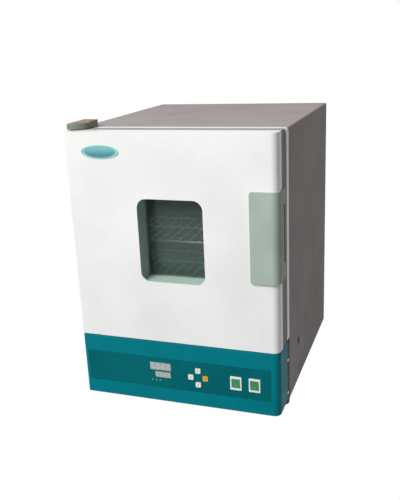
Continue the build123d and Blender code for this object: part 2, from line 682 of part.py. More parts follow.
def foot_places():
    """Middles of the four feet, as (x, y)."""
    front, rear = HALF_W - FOOT_INSET_X, HALF_W - FOOT_INSET_REAR_X
    return [(sign * x, y) for sign in (-1, 1)
            for x, y in ((front, SHELL_Y + FOOT_INSET_FRONT), (rear, REAR_Y - FOOT_INSET_REAR))]


def rubber_feet():
    """Four tapered rubber feet with a recess for their screws."""
    feet = []
    for x, y in foot_places():
        foot = Pos(x, y, FOOT_H / 2) * Cone(FOOT_BOTTOM_R, FOOT_TOP_R, FOOT_H)
        foot -= rod_z(x, y, -1, FOOT_RECESS_H, FOOT_RECESS_R)
        foot -= rod_z(x, y, 0, FOOT_H + 1, FOOT_SCREW_R + SCREW_SEGMENT)
        feet.append(foot)
    return Compound(children=feet)


def foot_screws():
    """Four screws that hold the feet to the base."""
    screws = []
    head_h = 3.0
    for x, y in foot_places():
        screw = rod_z(x, y, FOOT_RECESS_H - head_h, FOOT_RECESS_H, 2 * FOOT_SCREW_R)
        screws.append(screw + rod_z(x, y, FOOT_RECESS_H, FOOT_H + SHEET + 6, FOOT_SCREW_R))
    return Compound(children=screws)


# Hinge and catches


def hinge_nose():
    """Plan of the hinge cover's nose over the door: one broad and one small round corner."""
    y0 = FACE_Y + HINGE_FRONT
    y1 = y0 + HINGE_NOSE_D
    x0 = HINGE_SIDE - HALF_W
    plan = Pos(x0 + HINGE_W / 2, (y0 + y1) / 2) * Rectangle(HINGE_W, HINGE_NOSE_D)
    plan = fillet(plan.vertices().group_by(Axis.Y)[0].sort_by(Axis.X)[-1], HINGE_NOSE_R)
    return fillet(plan.vertices().group_by(Axis.X)[0].sort_by(Axis.Y)[0], HINGE_CORNER_R)


def hinge_bracket_upper():
    """Cover on the roof that reaches over the door's corner, with its pin down into the door."""
    z0 = DOOR_Z1 + HINGE_LIFT
    z1 = z0 + HINGE_H
    nose = prism_z(hinge_nose(), z0, z1)
    rim = nose.faces().sort_by(Axis.Z)[-1].edges().filter_by(
        lambda edge: edge.center().Y < FACE_Y + HINGE_FRONT + HINGE_NOSE_D - 1)
    nose = fillet(rim, HINGE_TOP_R)
    x0 = HINGE_SIDE + HINGE_STEP / 2 - HALF_W
    x1 = HINGE_SIDE + HINGE_W - HINGE_STEP - HALF_W
    y1 = FACE_Y + HINGE_FRONT + HINGE_D
    tail = block(x0, x1, FACE_Y + HINGE_FRONT + HINGE_NOSE_D / 2, y1, z0, z1)
    tail += block(x0, x1, FRAME_Y + FIT_GAP, y1, ROOF_Z, z0)
    corner = tail.edges().filter_by(Axis.Z).group_by(Axis.Y)[-1].sort_by(Axis.X)[-1]
    tail = fillet(corner, HINGE_CORNER_R)
    return nose + tail + rod_z(PIVOT_X, PIVOT_Y, DOOR_Z1 - PIN_L, z0, PIN_R)


def hinge_bracket_lower():
    """Plate on the frame, inside the control panel, with its pin up into the door."""
    z1 = PANEL_TOP - PANEL_T - FIT_GAP
    z0 = z1 - LOWER_HINGE_T
    half = LOWER_HINGE_W / 2
    side = PANEL_T + 2 * FIT_GAP + SHEET - DOOR_X
    plate = block(side, PIVOT_X + half, PIVOT_Y - half / 2, SHELL_Y, z0, z1)
    plate += block(side, PIVOT_X + half, SHELL_Y - LOWER_HINGE_T, SHELL_Y, SEAM_Z - LOWER_HINGE_W, z1)
    room = front_plan(DOOR_X - PANEL_T - FIT_GAP, FACE_Y + PANEL_T + FIT_GAP, REAR_Y, EDGE_R - PANEL_T)
    plate = plate & prism_z(room, BASE_Z, PANEL_TOP)
    return plate + rod_z(PIVOT_X, PIVOT_Y, z0, DOOR_Z0 + PIN_L, PIN_R)


def hinge_washer():
    """Plastic washer on the lower pin that the door turns on."""
    z1 = DOOR_Z0 - FIT_GAP / 2
    ring = rod_z(PIVOT_X, PIVOT_Y, PANEL_TOP, z1, WASHER_R)
    return ring - rod_z(PIVOT_X, PIVOT_Y, PANEL_TOP - 1, z1 + 1, PIN_R + FIT_GAP / 2)


def hinge_bushes():
    """Two flanged bushes in the door's top and bottom edges."""
    outer = PIN_R + PIN_PLAY + BUSH_T
    bushes = []
    for z0, z1 in ((DOOR_Z0, DOOR_Z0 + PIN_L + 1), (DOOR_Z1 - PIN_L - 1, DOOR_Z1)):
        bush = rod_z(PIVOT_X, PIVOT_Y, z0, z1, outer)
        bushes.append(bush - rod_z(PIVOT_X, PIVOT_Y, z0 - 1, z1 + 1, PIN_R + PIN_PLAY))
    return Compound(children=bushes)


def bush_holes():
    """Clearance in the door's parts for the hinge bushes."""
    radius = PIN_R + PIN_PLAY + BUSH_T + PIN_PLAY
    low = rod_z(PIVOT_X, PIVOT_Y, DOOR_Z0 - 1, DOOR_Z0 + PIN_L + 2, radius)
    return low + rod_z(PIVOT_X, PIVOT_Y, DOOR_Z1 - PIN_L - 2, DOOR_Z1 + 1, radius)


def catch_places():
    """Middles of the two door catches, as (x, z)."""
    x = HALF_W - CATCH_FROM_EDGE
    return [(x, DOOR_MID + sign * CATCH_Z) for sign in (-1, 1)]


def door_catches():
    """Two magnets in the frame that hold the door shut."""
    front = DOOR_REAR_Y + CATCH_PLATE_T + CATCH_GAP
    return Compound(children=[
        block(x - CATCH_W / 2, x + CATCH_W / 2, front, FRAME_Y + CATCH_D - FIT_GAP,
              z - CATCH_H / 2, z + CATCH_H / 2) for x, z in catch_places()])


def catch_plates():
    """Two steel strike plates on the door, opposite the magnets."""
    return Compound(children=[
        block(x - CATCH_W / 2 - 1, x + CATCH_W / 2 + 1, DOOR_REAR_Y, DOOR_REAR_Y + CATCH_PLATE_T,
              z - CATCH_H / 2 - 2, z + CATCH_H / 2 + 2) for x, z in catch_places()])


# Door


def grip_box(grow, x1):
    """Space of the finger slot in the handle's side, grown by a wall."""
    middle = BASE_Z + HANDLE_Z0 + HANDLE_H / 2 + GRIP_LIFT
    y0 = FACE_Y + GRIP_FROM_FRONT
    return block(HALF_W - GRIP_DEPTH - grow, x1, y0 - grow, y0 + GRIP_W + grow,
                 middle - GRIP_H / 2 - grow, middle + GRIP_H / 2 + grow)


def door_skin():
    """White formed face of the door, rounded at both upright edges."""
    rear = FACE_Y + SKIN_D
    outer = prism_z(front_plan(DOOR_X, FACE_Y, rear, EDGE_R), DOOR_Z0, DOOR_Z1)
    inner = prism_z(front_plan(DOOR_X - SKIN_T, FACE_Y + SKIN_T, rear + 1, EDGE_R - SKIN_T),
                    DOOR_Z0 + SKIN_T, DOOR_Z1 - SKIN_T)
    skin = outer - inner
    half_w, half_h = WINDOW_W / 2, WINDOW_H / 2
    lip = rounded(-half_w - SKIN_T, half_w + SKIN_T, DOOR_MID - half_h - SKIN_T,
                  DOOR_MID + half_h + SKIN_T, WINDOW_R + SKIN_T)
    skin += prism_y(lip, FACE_Y + SKIN_T / 2, FACE_Y + WINDOW_LIP)
    hole = rounded(-half_w, half_w, DOOR_MID - half_h, DOOR_MID + half_h, WINDOW_R)
    skin -= prism_y(hole, FACE_Y - 1, FACE_Y + WINDOW_LIP + 1)
    return skin - bush_holes()


def door_inner_shell():
    """Grey rear half of the door: a folded ring with a broad flange on its rear face."""
    front = FACE_Y + SKIN_D
    wall = INNER_SHELL_T
    ring = block(-DOOR_X, DOOR_X, front, DOOR_REAR_Y, DOOR_Z0, DOOR_Z1)
    ring -= block(wall - DOOR_X, DOOR_X - wall, front - 1, DOOR_REAR_Y - wall, DOOR_Z0 + wall,
                  DOOR_Z1 - wall)
    ring -= block(INNER_SHELL_FLANGE - DOOR_X, DOOR_X - INNER_SHELL_FLANGE, front,
                  DOOR_REAR_Y + 1, DOOR_Z0 + INNER_SHELL_FLANGE, DOOR_Z1 - INNER_SHELL_FLANGE)
    ring -= grip_box(GRIP_WALL + FIT_GAP, HALF_W + 1)
    for x, z in door_screw_places():
        ring -= rod_y(x, z, DOOR_REAR_Y - 2 * wall, DOOR_REAR_Y + 1, SCREW_R + SCREW_SEGMENT)
    return ring - bush_holes()


def glass_outline(grow):
    """Outline of the two panes, grown all round."""
    half_w = WINDOW_W / 2 + WELL_T + WELL_RIM + grow
    half_h = WINDOW_H / 2 + WELL_T + WELL_RIM + grow
    return Pos(0, DOOR_MID) * Rectangle(2 * half_w, 2 * half_h)


def door_insulation():
    """Mineral-wool slab inside the door, cut out round the window."""
    gap = FIT_GAP
    front = FACE_Y + SKIN_T + gap
    plan = front_plan(DOOR_X - SKIN_T - gap, front, DOOR_REAR_Y - INNER_SHELL_T - gap, EDGE_R - SKIN_T)
    wool = prism_z(plan, DOOR_Z0 + SKIN_T + gap, DOOR_Z1 - SKIN_T - gap)
    wool -= prism_y(glass_outline(gap + SKIN_T), front - 1, DOOR_REAR_Y + 1)
    wool -= grip_box(GRIP_WALL + gap, HALF_W + 1)
    clear = bush_holes()
    for x, z in door_screw_places():
        clear += rod_y(x, z, DOOR_REAR_Y - SCREW_L - 1, DOOR_REAR_Y, SCREW_R + gap)
    return wool - clear


def window_well():
    """Square-cornered sheet tunnel behind the window's rounded cut-out."""
    half_w = WINDOW_W / 2 + SKIN_T + FIT_GAP
    half_h = WINDOW_H / 2 + SKIN_T + FIT_GAP
    y0, y1 = FACE_Y + SKIN_T, GLASS_Y
    outer = Pos(0, DOOR_MID) * Rectangle(2 * (half_w + WELL_T), 2 * (half_h + WELL_T))
    inner = Pos(0, DOOR_MID) * Rectangle(2 * half_w, 2 * half_h)
    tunnel = prism_y(outer, y0, y1) + prism_y(glass_outline(0), y1 - WELL_T, y1)
    return tunnel - prism_y(inner, y0 - 1, y1 + 1)


def window_outer_glass():
    """Outer pane, against the well's rear rim."""
    return prism_y(glass_outline(0), GLASS_Y, GLASS_Y + GLASS_T)


def glass_spacer():
    """Rubber frame that keeps the two panes apart."""
    y0 = GLASS_Y + GLASS_T
    window = Pos(0, DOOR_MID) * Rectangle(WINDOW_W + 2, WINDOW_H + 2)
    return prism_y(glass_outline(0) - window, y0, y0 + SPACER_T)


def window_inner_glass():
    """Inner pane, held by the door's inner panel."""
    return prism_y(glass_outline(0), GLASS_Y + GLASS_T + SPACER_T, DOOR_REAR_Y)


def door_screw_places():
    """Screws round the edge of the door's inner panel, as (x, z)."""
    x = CHAMBER_X + INNER_PANEL_LAP - DOOR_SCREW_INSET
    z = CHAMBER_H / 2 + INNER_PANEL_LAP - DOOR_SCREW_INSET
    places = [(sx * x, CHAMBER_MID + sz * z) for sx in (-1, 1) for sz in (-1, 0, 1)]
    return places + [(0, CHAMBER_MID + sz * z) for sz in (-1, 1)]


def door_inner_panel():
    """Stainless panel on the door's rear face, with the window's rear cut-out."""
    half_x = CHAMBER_X + INNER_PANEL_LAP
    half_z = CHAMBER_H / 2 + INNER_PANEL_LAP
    outline = rounded(-half_x, half_x, CHAMBER_MID - half_z, CHAMBER_MID + half_z,
                      GASKET_R - GASKET_W - FIT_GAP)
    hole = rounded(-WINDOW_W / 2, WINDOW_W / 2, DOOR_MID - WINDOW_H / 2, DOOR_MID + WINDOW_H / 2,
                   WINDOW_R / 4)
    panel = prism_y(outline - hole, DOOR_REAR_Y, DOOR_REAR_Y + INNER_PANEL_T)
    for x, z in door_screw_places():
        panel -= rod_y(x, z, DOOR_REAR_Y - 1, DOOR_REAR_Y + 2 * INNER_PANEL_T, SCREW_R + SCREW_SEGMENT)
    return panel


def door_screws():
    """Screws that hold the inner panel to the door."""
    seat = DOOR_REAR_Y + INNER_PANEL_T
    return Compound(children=[screw_y(x, z, seat, 1) for x, z in door_screw_places()])


def door_gasket():
    """Silicone seal round the chamber mouth, with a hollow lip towards the frame."""
    half_x = CHAMBER_X + INNER_PANEL_LAP + FIT_GAP
    half_z = CHAMBER_H / 2 + INNER_PANEL_LAP + FIT_GAP

    def ring(inset_in, inset_out):
        outer = rounded(-half_x - inset_out, half_x + inset_out, CHAMBER_MID - half_z - inset_out,
                        CHAMBER_MID + half_z + inset_out, GASKET_R)
        return outer - rounded(-half_x - inset_in, half_x + inset_in, CHAMBER_MID - half_z - inset_in,
                               CHAMBER_MID + half_z + inset_in, GASKET_R - GASKET_W)

    root = prism_y(ring(0, GASKET_W), DOOR_REAR_Y, DOOR_REAR_Y + GASKET_GAP / 2)
    lip = prism_y(ring(GASKET_W / 4, 3 * GASKET_W / 4), DOOR_REAR_Y + GASKET_GAP / 2,
                  FRAME_Y - FIT_GAP)
    return root + lip


def door_handle():
    """Moulded grip that wraps round the door's right edge, with a finger slot in its side."""
    x0 = DOOR_X - HANDLE_W
    y1 = DOOR_REAR_Y - HANDLE_BACK_INSET
    z0 = BASE_Z + HANDLE_Z0
    z1 = z0 + HANDLE_H
    side_proud = HALF_W - DOOR_X
    outer = Pos((x0 + HALF_W) / 2, (FACE_Y - HANDLE_PROUD + y1) / 2) \
        * Rectangle(HALF_W - x0, y1 - FACE_Y + HANDLE_PROUD)
    corner = outer.vertices().group_by(Axis.Y)[0].sort_by(Axis.X)[-1]
    outer = fillet(corner, EDGE_R + side_proud)
    body = prism_z(outer, z0, z1)
    left = body.edges().filter_by(Axis.Y).group_by(Axis.X)[0]
    body = fillet(left, HANDLE_R)
    rear = body.edges().filter_by(Axis.X).group_by(Axis.Y)[-1]
    body = fillet(rear, HANDLE_REAR_R)
    door = prism_z(front_plan(DOOR_X + FIT_GAP / 2, FACE_Y, DOOR_REAR_Y + 1, EDGE_R), z0 - 1, z1 + 1)
    grip = body - door
    grip += grip_box(GRIP_WALL, HALF_W) & prism_z(outer, z0, z1)
    return grip - grip_box(0, HALF_W + 1)


def badge_plate():
    """Bare oval plate with a raised rim."""
    z = DOOR_Z1 - BADGE_DOWN
    oval = Pos(BADGE_X, z) * Ellipse(BADGE_W / 2, BADGE_H / 2)
    field = Pos(BADGE_X, z) * Ellipse(BADGE_W / 2 - BADGE_RIM, BADGE_H / 2 - BADGE_RIM)
    plate = prism_y(oval, FACE_Y - BADGE_T, FACE_Y)
    return plate - prism_y(field, FACE_Y - BADGE_T - 1, FACE_Y - BADGE_T + BADGE_RIM_T)


# Control panel


def key_places():
    """Names and middles of the four keys, as (x, z)."""
    z = BASE_Z + KEYS_Z
    return {"key_up": (KEYS_X, z + KEY_PITCH), "key_left": (KEYS_X - KEY_PITCH, z),
            "key_right": (KEYS_X + KEY_PITCH, z), "key_down": (KEYS_X, z - KEY_PITCH)}


def lamp_places():
    """Middles of the three indicator lamps, as (x, z)."""
    return [(LAMP_X + step * LAMP_PITCH, BASE_Z + LAMP_Z) for step in (-1, 0, 1)]


def display_outline(x, z, width, height, grow):
    """Outline of a display window, grown by its play."""
    return Pos(x, BASE_Z + z) * Rectangle(width + 2 * grow, height + 2 * grow)


def panel_openings(play):
    """Outlines of all that passes through the film and the panel's front wall."""
    holes = display_outline(UPPER_DISPLAY_X, UPPER_DISPLAY_Z, UPPER_DISPLAY_W, UPPER_DISPLAY_H, play)
    holes += display_outline(LOWER_DISPLAY_X, LOWER_DISPLAY_Z, LOWER_DISPLAY_W, LOWER_DISPLAY_H, play)
    for x, z in key_places().values():
        holes += Pos(x, z) * RectangleRounded(KEY_W + 2 * play, KEY_W + 2 * play, KEY_R)
    for x, z in lamp_places():
        holes += Pos(x, z) * Circle(LAMP_R + play)
    for x in SWITCH_XS:
        holes += Pos(x, BASE_Z + SWITCH_Z) * Rectangle(SWITCH_BODY_W + 2 * play, SWITCH_BODY_H + 2 * play)
    return holes


def board_bosses():
    """Middles of the bosses that carry the controller board, as (x, z)."""
    middle = BASE_Z + (FILM_Z0 + FILM_Z1) / 2
    return [(sx * (BOARD_W / 2 - BOSS_INSET), middle + sz * (BOARD_H / 2 - BOSS_INSET))
            for sx in (-1, 1) for sz in (-1, 1)]


def control_panel():
    """Teal front of the base: a deep moulding with the same rounded edges as the door."""
    outer = prism_z(front_plan(DOOR_X, FACE_Y, PANEL_REAR, EDGE_R), BASE_Z, PANEL_TOP)
    ends = outer.faces().filter_by(Axis.Z).edges().filter_by(
        lambda edge: edge.center().Y < PANEL_REAR - 1)
    outer = fillet(ends, PANEL_EDGE_R)
    inner = prism_z(front_plan(DOOR_X - PANEL_T, FACE_Y + PANEL_T, PANEL_REAR + 1, EDGE_R - PANEL_T),
                    BASE_Z + PANEL_T, PANEL_TOP - PANEL_T)
    panel = outer - inner
    film = rounded(FILM_X0, FILM_X1, BASE_Z + FILM_Z0, BASE_Z + FILM_Z1, FILM_R)
    panel -= prism_y(film, FACE_Y - 1, FACE_Y + FILM_RECESS)
    for x, z in board_bosses():
        panel += rod_y(x, z, FACE_Y + PANEL_T - FILM_T, BOARD_Y, BOSS_R)
    panel -= prism_y(panel_openings(KEY_PLAY), FACE_Y - 1, FACE_Y + PANEL_T + 1)
    panel -= rod_z(PIVOT_X, PIVOT_Y, PANEL_TOP - 2 * PANEL_T, PANEL_TOP + 1, PIN_R + FIT_GAP)
    for sign in (-1, 1):
        for z in PANEL_SCREW_ZS:
            x0, x1 = sorted((sign * (DOOR_X - 2 * PANEL_T), sign * (DOOR_X + 1)))
            panel -= rod_x(PANEL_REAR - PANEL_SCREW_BACK, BASE_Z + z, x0, x1, SCREW_R + SCREW_SEGMENT)
    return panel


def panel_film():
    """Darker film in the panel's recess, cut out for displays, keys, lamps and switches."""
    film = rounded(FILM_X0 + FIT_GAP, FILM_X1 - FIT_GAP, BASE_Z + FILM_Z0 + FIT_GAP,
                   BASE_Z + FILM_Z1 - FIT_GAP, FILM_R)
    return prism_y(film - panel_openings(KEY_PLAY), FILM_FACE, FACE_Y + FILM_RECESS)


def display(x, z, width, height):
    """Display module, from just behind the film's face to the controller board."""
    return prism_y(display_outline(x, z, width, height, 0), FACE_Y, BOARD_Y)


def indicator_lamps():
    """Three small round lamps on the controller board."""
    return Compound(children=[rod_y(x, z, FILM_FACE - 0.3, BOARD_Y, LAMP_R) for x, z in lamp_places()])


def controller_board():
    """Circuit board on the panel's bosses, with a push switch behind each key."""
    middle = BASE_Z + (FILM_Z0 + FILM_Z1) / 2
    board = block(-BOARD_W / 2, BOARD_W / 2, BOARD_Y, BOARD_Y + BOARD_T, middle - BOARD_H / 2,
                  middle + BOARD_H / 2)
    for x, z in key_places().values():
        board += block(x - TACT_W / 2, x + TACT_W / 2, BOARD_Y - TACT_H, BOARD_Y, z - TACT_W / 2, z + TACT_W / 2)
    for number in range(BOARD_RELAYS):
        x = BOARD_RELAY_X + number * BOARD_RELAY_PITCH
        board += block(x - BOARD_RELAY_W / 2, x + BOARD_RELAY_W / 2, BOARD_Y + BOARD_T,
                       BOARD_Y + BOARD_T + BOARD_RELAY_D, middle - BOARD_RELAY_D / 2,
                       middle + BOARD_RELAY_D / 2)
    return board


def key(place):
    """Key cap with a rear flange that keeps it in, and a stem to its push switch."""
    x, z = place
    wall = FACE_Y + PANEL_T + KEY_PLAY / 2
    outline = Pos(x, z) * RectangleRounded(KEY_W, KEY_W, KEY_R)
    cap = prism_y(outline, FILM_FACE - KEY_PROUD, wall + KEY_FLANGE_T)
    flange = Pos(x, z) * Rectangle(KEY_W + 2 * KEY_FLANGE, KEY_W + 2 * KEY_FLANGE)
    cap += prism_y(flange, wall, wall + KEY_FLANGE_T)
    return cap + rod_y(x, z, wall, BOARD_Y - TACT_H - KEY_TRAVEL - FIT_GAP / 3, KEY_STEM_R)


def switch_housings():
    """Two switch bodies with a bezel in front of the film and an open well for the rocker."""
    z = BASE_Z + SWITCH_Z
    well_w = ROCKER_W + 2 * ROCKER_PLAY
    well_h = ROCKER_H + 2 * ROCKER_PLAY
    face = FILM_FACE - BEZEL_PROUD
    pivot_y = face + ROCKER_PIVOT_D
    housings = []
    for x in SWITCH_XS:
        bezel = Pos(x, z) * RectangleRounded(BEZEL_W, BEZEL_H, BEZEL_R)
        body = Pos(x, z) * Rectangle(SWITCH_BODY_W, SWITCH_BODY_H)
        housing = prism_y(bezel, face, FILM_FACE) + prism_y(body, FILM_FACE, FACE_Y + SWITCH_BODY_D)
        well = Pos(x, z) * Rectangle(well_w, well_h)
        housing -= prism_y(well, face - 1, pivot_y + ROCKER_DEPTH + 3)
        housing -= rod_x(pivot_y, z, x - SWITCH_BODY_W / 2 + PIN_WALL, x + SWITCH_BODY_W / 2 - PIN_WALL,
                         ROCKER_PIN_R + PIN_PLAY)
        for step in (-1, 1):
            housing += block(x - 3, x + 3, FACE_Y + SWITCH_BODY_D, FACE_Y + SWITCH_BODY_D + 8,
                             z + step * 7 - 0.4, z + step * 7 + 0.4)
        housings.append(housing)
    return Compound(children=housings)


def rocker(x):
    """Rocker with a shallow valley in its face, tilted to off, on its two pins."""
    z = BASE_Z + SWITCH_Z
    pivot_y = FILM_FACE - BEZEL_PROUD + ROCKER_PIVOT_D
    half = ROCKER_H / 2
    rise = half * sin(radians(ROCKER_CROWN))
    front = ROCKER_PIVOT_D + ROCKER_PROUD
    tip, corner = half - 0.9, half - 0.5
    profile = Polyline((-front, 0), (-front - rise / 2, tip), (1 - front, corner),
                       (ROCKER_DEPTH - 4, corner), (ROCKER_DEPTH, 4), (ROCKER_DEPTH, -4),
                       (ROCKER_DEPTH - 4, -corner), (1 - front, -corner),
                       (-front - rise / 2, -tip), close=True)
    body = prism_x(make_face(profile), -ROCKER_W / 2, ROCKER_W / 2)
    reach = SWITCH_BODY_W / 2 - PIN_WALL - PIN_PLAY
    body += prism_x(Circle(ROCKER_PIN_R), -reach, reach)
    return Pos(x, pivot_y, z) * Rot(-ROCKER_ANGLE, 0, 0) * body


# Side cover and electrical parts


def cover_outline():
    """Outline of the side access cover, in y and z."""
    return Pos(COVER_Y0 + COVER_D / 2, BASE_Z + COVER_Z0 + COVER_H / 2) * Rectangle(COVER_D, COVER_H)


def side_access_cover():
    """Clip-in cover in the base's right side, with the hole for the port."""
    x1 = HALF_W - SHEET + COVER_T
    cover = prism_x(cover_outline(), HALF_W - SHEET, x1)
    cover -= rod_x(PORT_Y, BASE_Z + PORT_Z, HALF_W - 2 * SHEET, x1 + 1, PORT_R)
    z_low = BASE_Z + COVER_Z0 + COVER_FRAME + FIT_GAP
    z_high = BASE_Z + COVER_Z0 + COVER_H - COVER_FRAME - FIT_GAP
    for step in (-1, 1):
        y = COVER_Y0 + COVER_D / 2 + step * COVER_D / 3
        for z0, z1 in ((z_low, z_low + COVER_T), (z_high - COVER_T, z_high)):
            cover += block(HALF_W - 6 * SHEET, HALF_W - SHEET, y - COVER_TAB_W / 2,
                           y + COVER_TAB_W / 2, z0, z1)
    return cover


def port_grommet():
    """Rubber grommet in the side cover, open right through."""
    outside = HALF_W - SHEET + COVER_T
    z = BASE_Z + PORT_Z
    grommet = rod_x(PORT_Y, z, outside - PORT_L, outside, PORT_R - PIN_PLAY)
    lip_out = outside + SHEET - COVER_T
    grommet += rod_x(PORT_Y, z, outside, lip_out, PORT_FLANGE_R)
    inside = HALF_W - SHEET
    grommet += rod_x(PORT_Y, z, inside - 2 * PORT_FLANGE_T, inside, PORT_FLANGE_R)
    return grommet - rod_x(PORT_Y, z, outside - PORT_L - 1, lip_out + 1, PORT_BORE_R)


def power_inlet():
    """Mains inlet with three prongs in its socket, on the base's rear wall."""
    z = BASE_Z + INLET_Z
    flange = rounded(INLET_X - INLET_W / 2, INLET_X + INLET_W / 2, z - INLET_H / 2, z + INLET_H / 2, 4)
    body = rounded(INLET_X - INLET_BODY_W / 2, INLET_X + INLET_BODY_W / 2, z - INLET_BODY_H / 2,
                   z + INLET_BODY_H / 2, 3)
    face = REAR_Y + INLET_FLANGE_T
    inlet = prism_y(flange, REAR_Y, face) + prism_y(body, face - INLET_BODY_D, face)
    socket = rounded(INLET_X - INLET_SOCKET_W / 2, INLET_X + INLET_SOCKET_W / 2,
                     z - INLET_SOCKET_H / 2, z + INLET_SOCKET_H / 2, 2)
    inlet -= prism_y(socket, face - INLET_SOCKET_D, face + 1)
    for x, lift in ((-PRONG_PITCH, 0), (0, PRONG_UP), (PRONG_PITCH, 0)):
        inlet += block(INLET_X + x - PRONG_W / 2, INLET_X + x + PRONG_W / 2, face - INLET_SOCKET_D,
                       face - INLET_SOCKET_D + PRONG_L, z + lift, z + lift + PRONG_H)
    return inlet


def fuse_holders():
    """Two fuse holders with round caps."""
    z = BASE_Z + INLET_Z
    holders = []
    for x in FUSE_XS:
        holder = rod_y(x, z, REAR_Y, REAR_Y + FUSE_CAP_H, FUSE_R)
        holder += rod_y(x, z, REAR_Y - FUSE_BODY_L, REAR_Y, FUSE_BODY_R)
        slot = block(x - FUSE_R, x + FUSE_R, REAR_Y + FUSE_CAP_H - 1.5, REAR_Y + FUSE_CAP_H + 1, z - 0.6, z + 0.6)
        holders.append(holder - slot)
    return Compound(children=holders)


def solid_state_relay():
    """Heater relay on its cooling plate, on the floor of the base."""
    y0 = SHELL_Y + RELAY_BACK
    z0 = BASE_Z + SHEET
    plate = block(RELAY_X - RELAY_W, RELAY_X + RELAY_W, y0 - RELAY_PLATE_LAP,
                  y0 + RELAY_D + RELAY_PLATE_LAP, z0, z0 + RELAY_PLATE)
    return plate + block(RELAY_X - RELAY_W / 2, RELAY_X + RELAY_W / 2, y0, y0 + RELAY_D,
                         z0 + RELAY_PLATE, z0 + RELAY_PLATE + RELAY_H)


def casing_screws():
    """Screws of the rear cover and of the control panel's sides."""
    screws = [screw_y(x, z, COVER_FACE, 1) for x, z in rear_screw_places()]
    for sign in (-1, 1):
        for z in PANEL_SCREW_ZS:
            screws.append(screw_x(PANEL_REAR - PANEL_SCREW_BACK, BASE_Z + z, sign * DOOR_X, sign))
    return Compound(children=screws)


# Chamber fittings


def ledge_z(level):
    """Top of a shelf ledge."""
    return FLOOR_Z + SHELF_FIRST + level * SHELF_PITCH


def shelf_rack(sign):
    """Side rack: two posts on the liner's wall and a row of folded ledges."""
    wall = sign * CHAMBER_X
    face = sign * (CHAMBER_X - RACK_T)
    y0 = FRAME_Y + RACK_FRONT
    y1 = y0 + RACK_D
    z0 = ledge_z(0) - SHELF_PITCH / 3
    z1 = ledge_z(SHELF_LEVELS - 1) + SHELF_PITCH / 3
    rack = Part()
    for post_y in (y0 + 8, y1 - 8 - POST_W):
        rack += block(min(wall, face), max(wall, face), post_y, post_y + POST_W, z0, z1)
    edge = sign * (CHAMBER_X - RACK_T - RACK_LEDGE)
    for level in range(SHELF_LEVELS):
        z = ledge_z(level)
        rack += block(min(wall, face), max(wall, face), y0, y1, z - 5, z + 5)
        rack += block(min(edge, face), max(edge, face), y0, y1, z - RACK_T, z)
    return rack


def shelf(level):
    """Wire shelf: a round-bar frame, a cross bar below and a row of thin wires on top."""
    half_w = CHAMBER_X - RACK_T - SHELF_SIDE_PLAY
    y0 = FRAME_Y + RACK_FRONT
    z = ledge_z(level) + SHELF_REST_GAP + SHELF_FRAME_R
    middle = y0 + SHELF_D / 2
    frame_w = 2 * (half_w - SHELF_FRAME_R)
    frame_d = SHELF_D - 2 * SHELF_FRAME_R
    path = (Pos(0, middle, z) * RectangleRounded(frame_w, frame_d, SHELF_CORNER_R)).wire()
    section = Plane(origin=path @ 0, z_dir=path % 0) * Circle(SHELF_FRAME_R)
    tray = sweep(section, path=path)
    bar_y = y0 + SHELF_BAR
    tray += rod_x(bar_y, z, -frame_w / 2, frame_w / 2, SHELF_FRAME_R)
    wire_z = z + SHELF_FRAME_R
    pitch = frame_w / (SHELF_WIRES + 1)
    for number in range(1, SHELF_WIRES + 1):
        x = number * pitch - frame_w / 2
        tray += rod_y(x, wire_z, y0 + SHELF_FRAME_R, y0 + SHELF_D - SHELF_FRAME_R, SHELF_WIRE_R)
    return tray


def heater_angles():
    """Start and end of the heater's ring, in degrees from +X towards +Z."""
    return -90 + HEATER_GAP_DEG / 2, 270 - HEATER_GAP_DEG / 2


def ring_point(radius, angle):
    """Point on a circle round the fan's axis, as (x, z)."""
    return radius * cos(radians(angle)), CHAMBER_MID + radius * sin(radians(angle))


def heater_ends():
    """Middles of the heater's two legs, as (x, z)."""
    ends = []
    for angle, turn in zip(heater_angles(), (-1, 1)):
        x, z = ring_point(HEATER_R, angle)
        tangent = radians(angle + turn * 90)
        ends.append((x + HEATER_BEND_R * cos(tangent), z + HEATER_BEND_R * sin(tangent)))
    return ends


def heater_element():
    """Tubular heater bent to a ring round the fan, with both legs out through the rear wall."""
    y = BAFFLE_Y + HEATER_FROM_BAFFLE
    start, end = heater_angles()
    ring_plane = Plane(origin=(0, y, CHAMBER_MID), x_dir=(1, 0, 0), z_dir=(0, -1, 0))
    section = Plane(origin=(HEATER_R, y, CHAMBER_MID), x_dir=(1, 0, 0), z_dir=(0, 0, 1)) \
        * Circle(HEATER_TUBE_R)
    axis = Axis((0, y, CHAMBER_MID), (0, -1, 0))
    ring = revolve(section, axis, end - start)
    element = ring.rotate(axis, start)
    rear = LINER_REAR + LINER_T + HEATER_LEG
    for (x, z), angle, turn in zip(heater_ends(), (start, end), (-1, 1)):
        px, pz = ring_point(HEATER_R, angle)
        bend_axis = Axis((px, y + HEATER_BEND_R, pz),
                         (turn * cos(radians(angle)), 0, turn * sin(radians(angle))))
        tangent = (turn * -sin(radians(angle)), 0, turn * cos(radians(angle)))
        disc = Plane(origin=(px, y, pz), z_dir=tangent) * Circle(HEATER_TUBE_R)
        element += revolve(disc, bend_axis, -90)
        element += rod_y(x, z, y + HEATER_BEND_R, rear, HEATER_TUBE_R)
        element += rod_y(x, z, LINER_REAR - HEATER_FERRULE_T, LINER_REAR, HEATER_FERRULE_R)
    return element


def temperature_probe():
    """Sensor rod through the baffle and the rear wall, with a collar on the liner."""
    probe = rod_y(PROBE_X, PROBE_Z, BAFFLE_Y - PROBE_IN, LINER_REAR + PROBE_OUT, PROBE_R)
    return probe + rod_y(PROBE_X, PROBE_Z, LINER_REAR - PROBE_COLLAR_T, LINER_REAR, PROBE_COLLAR_R)


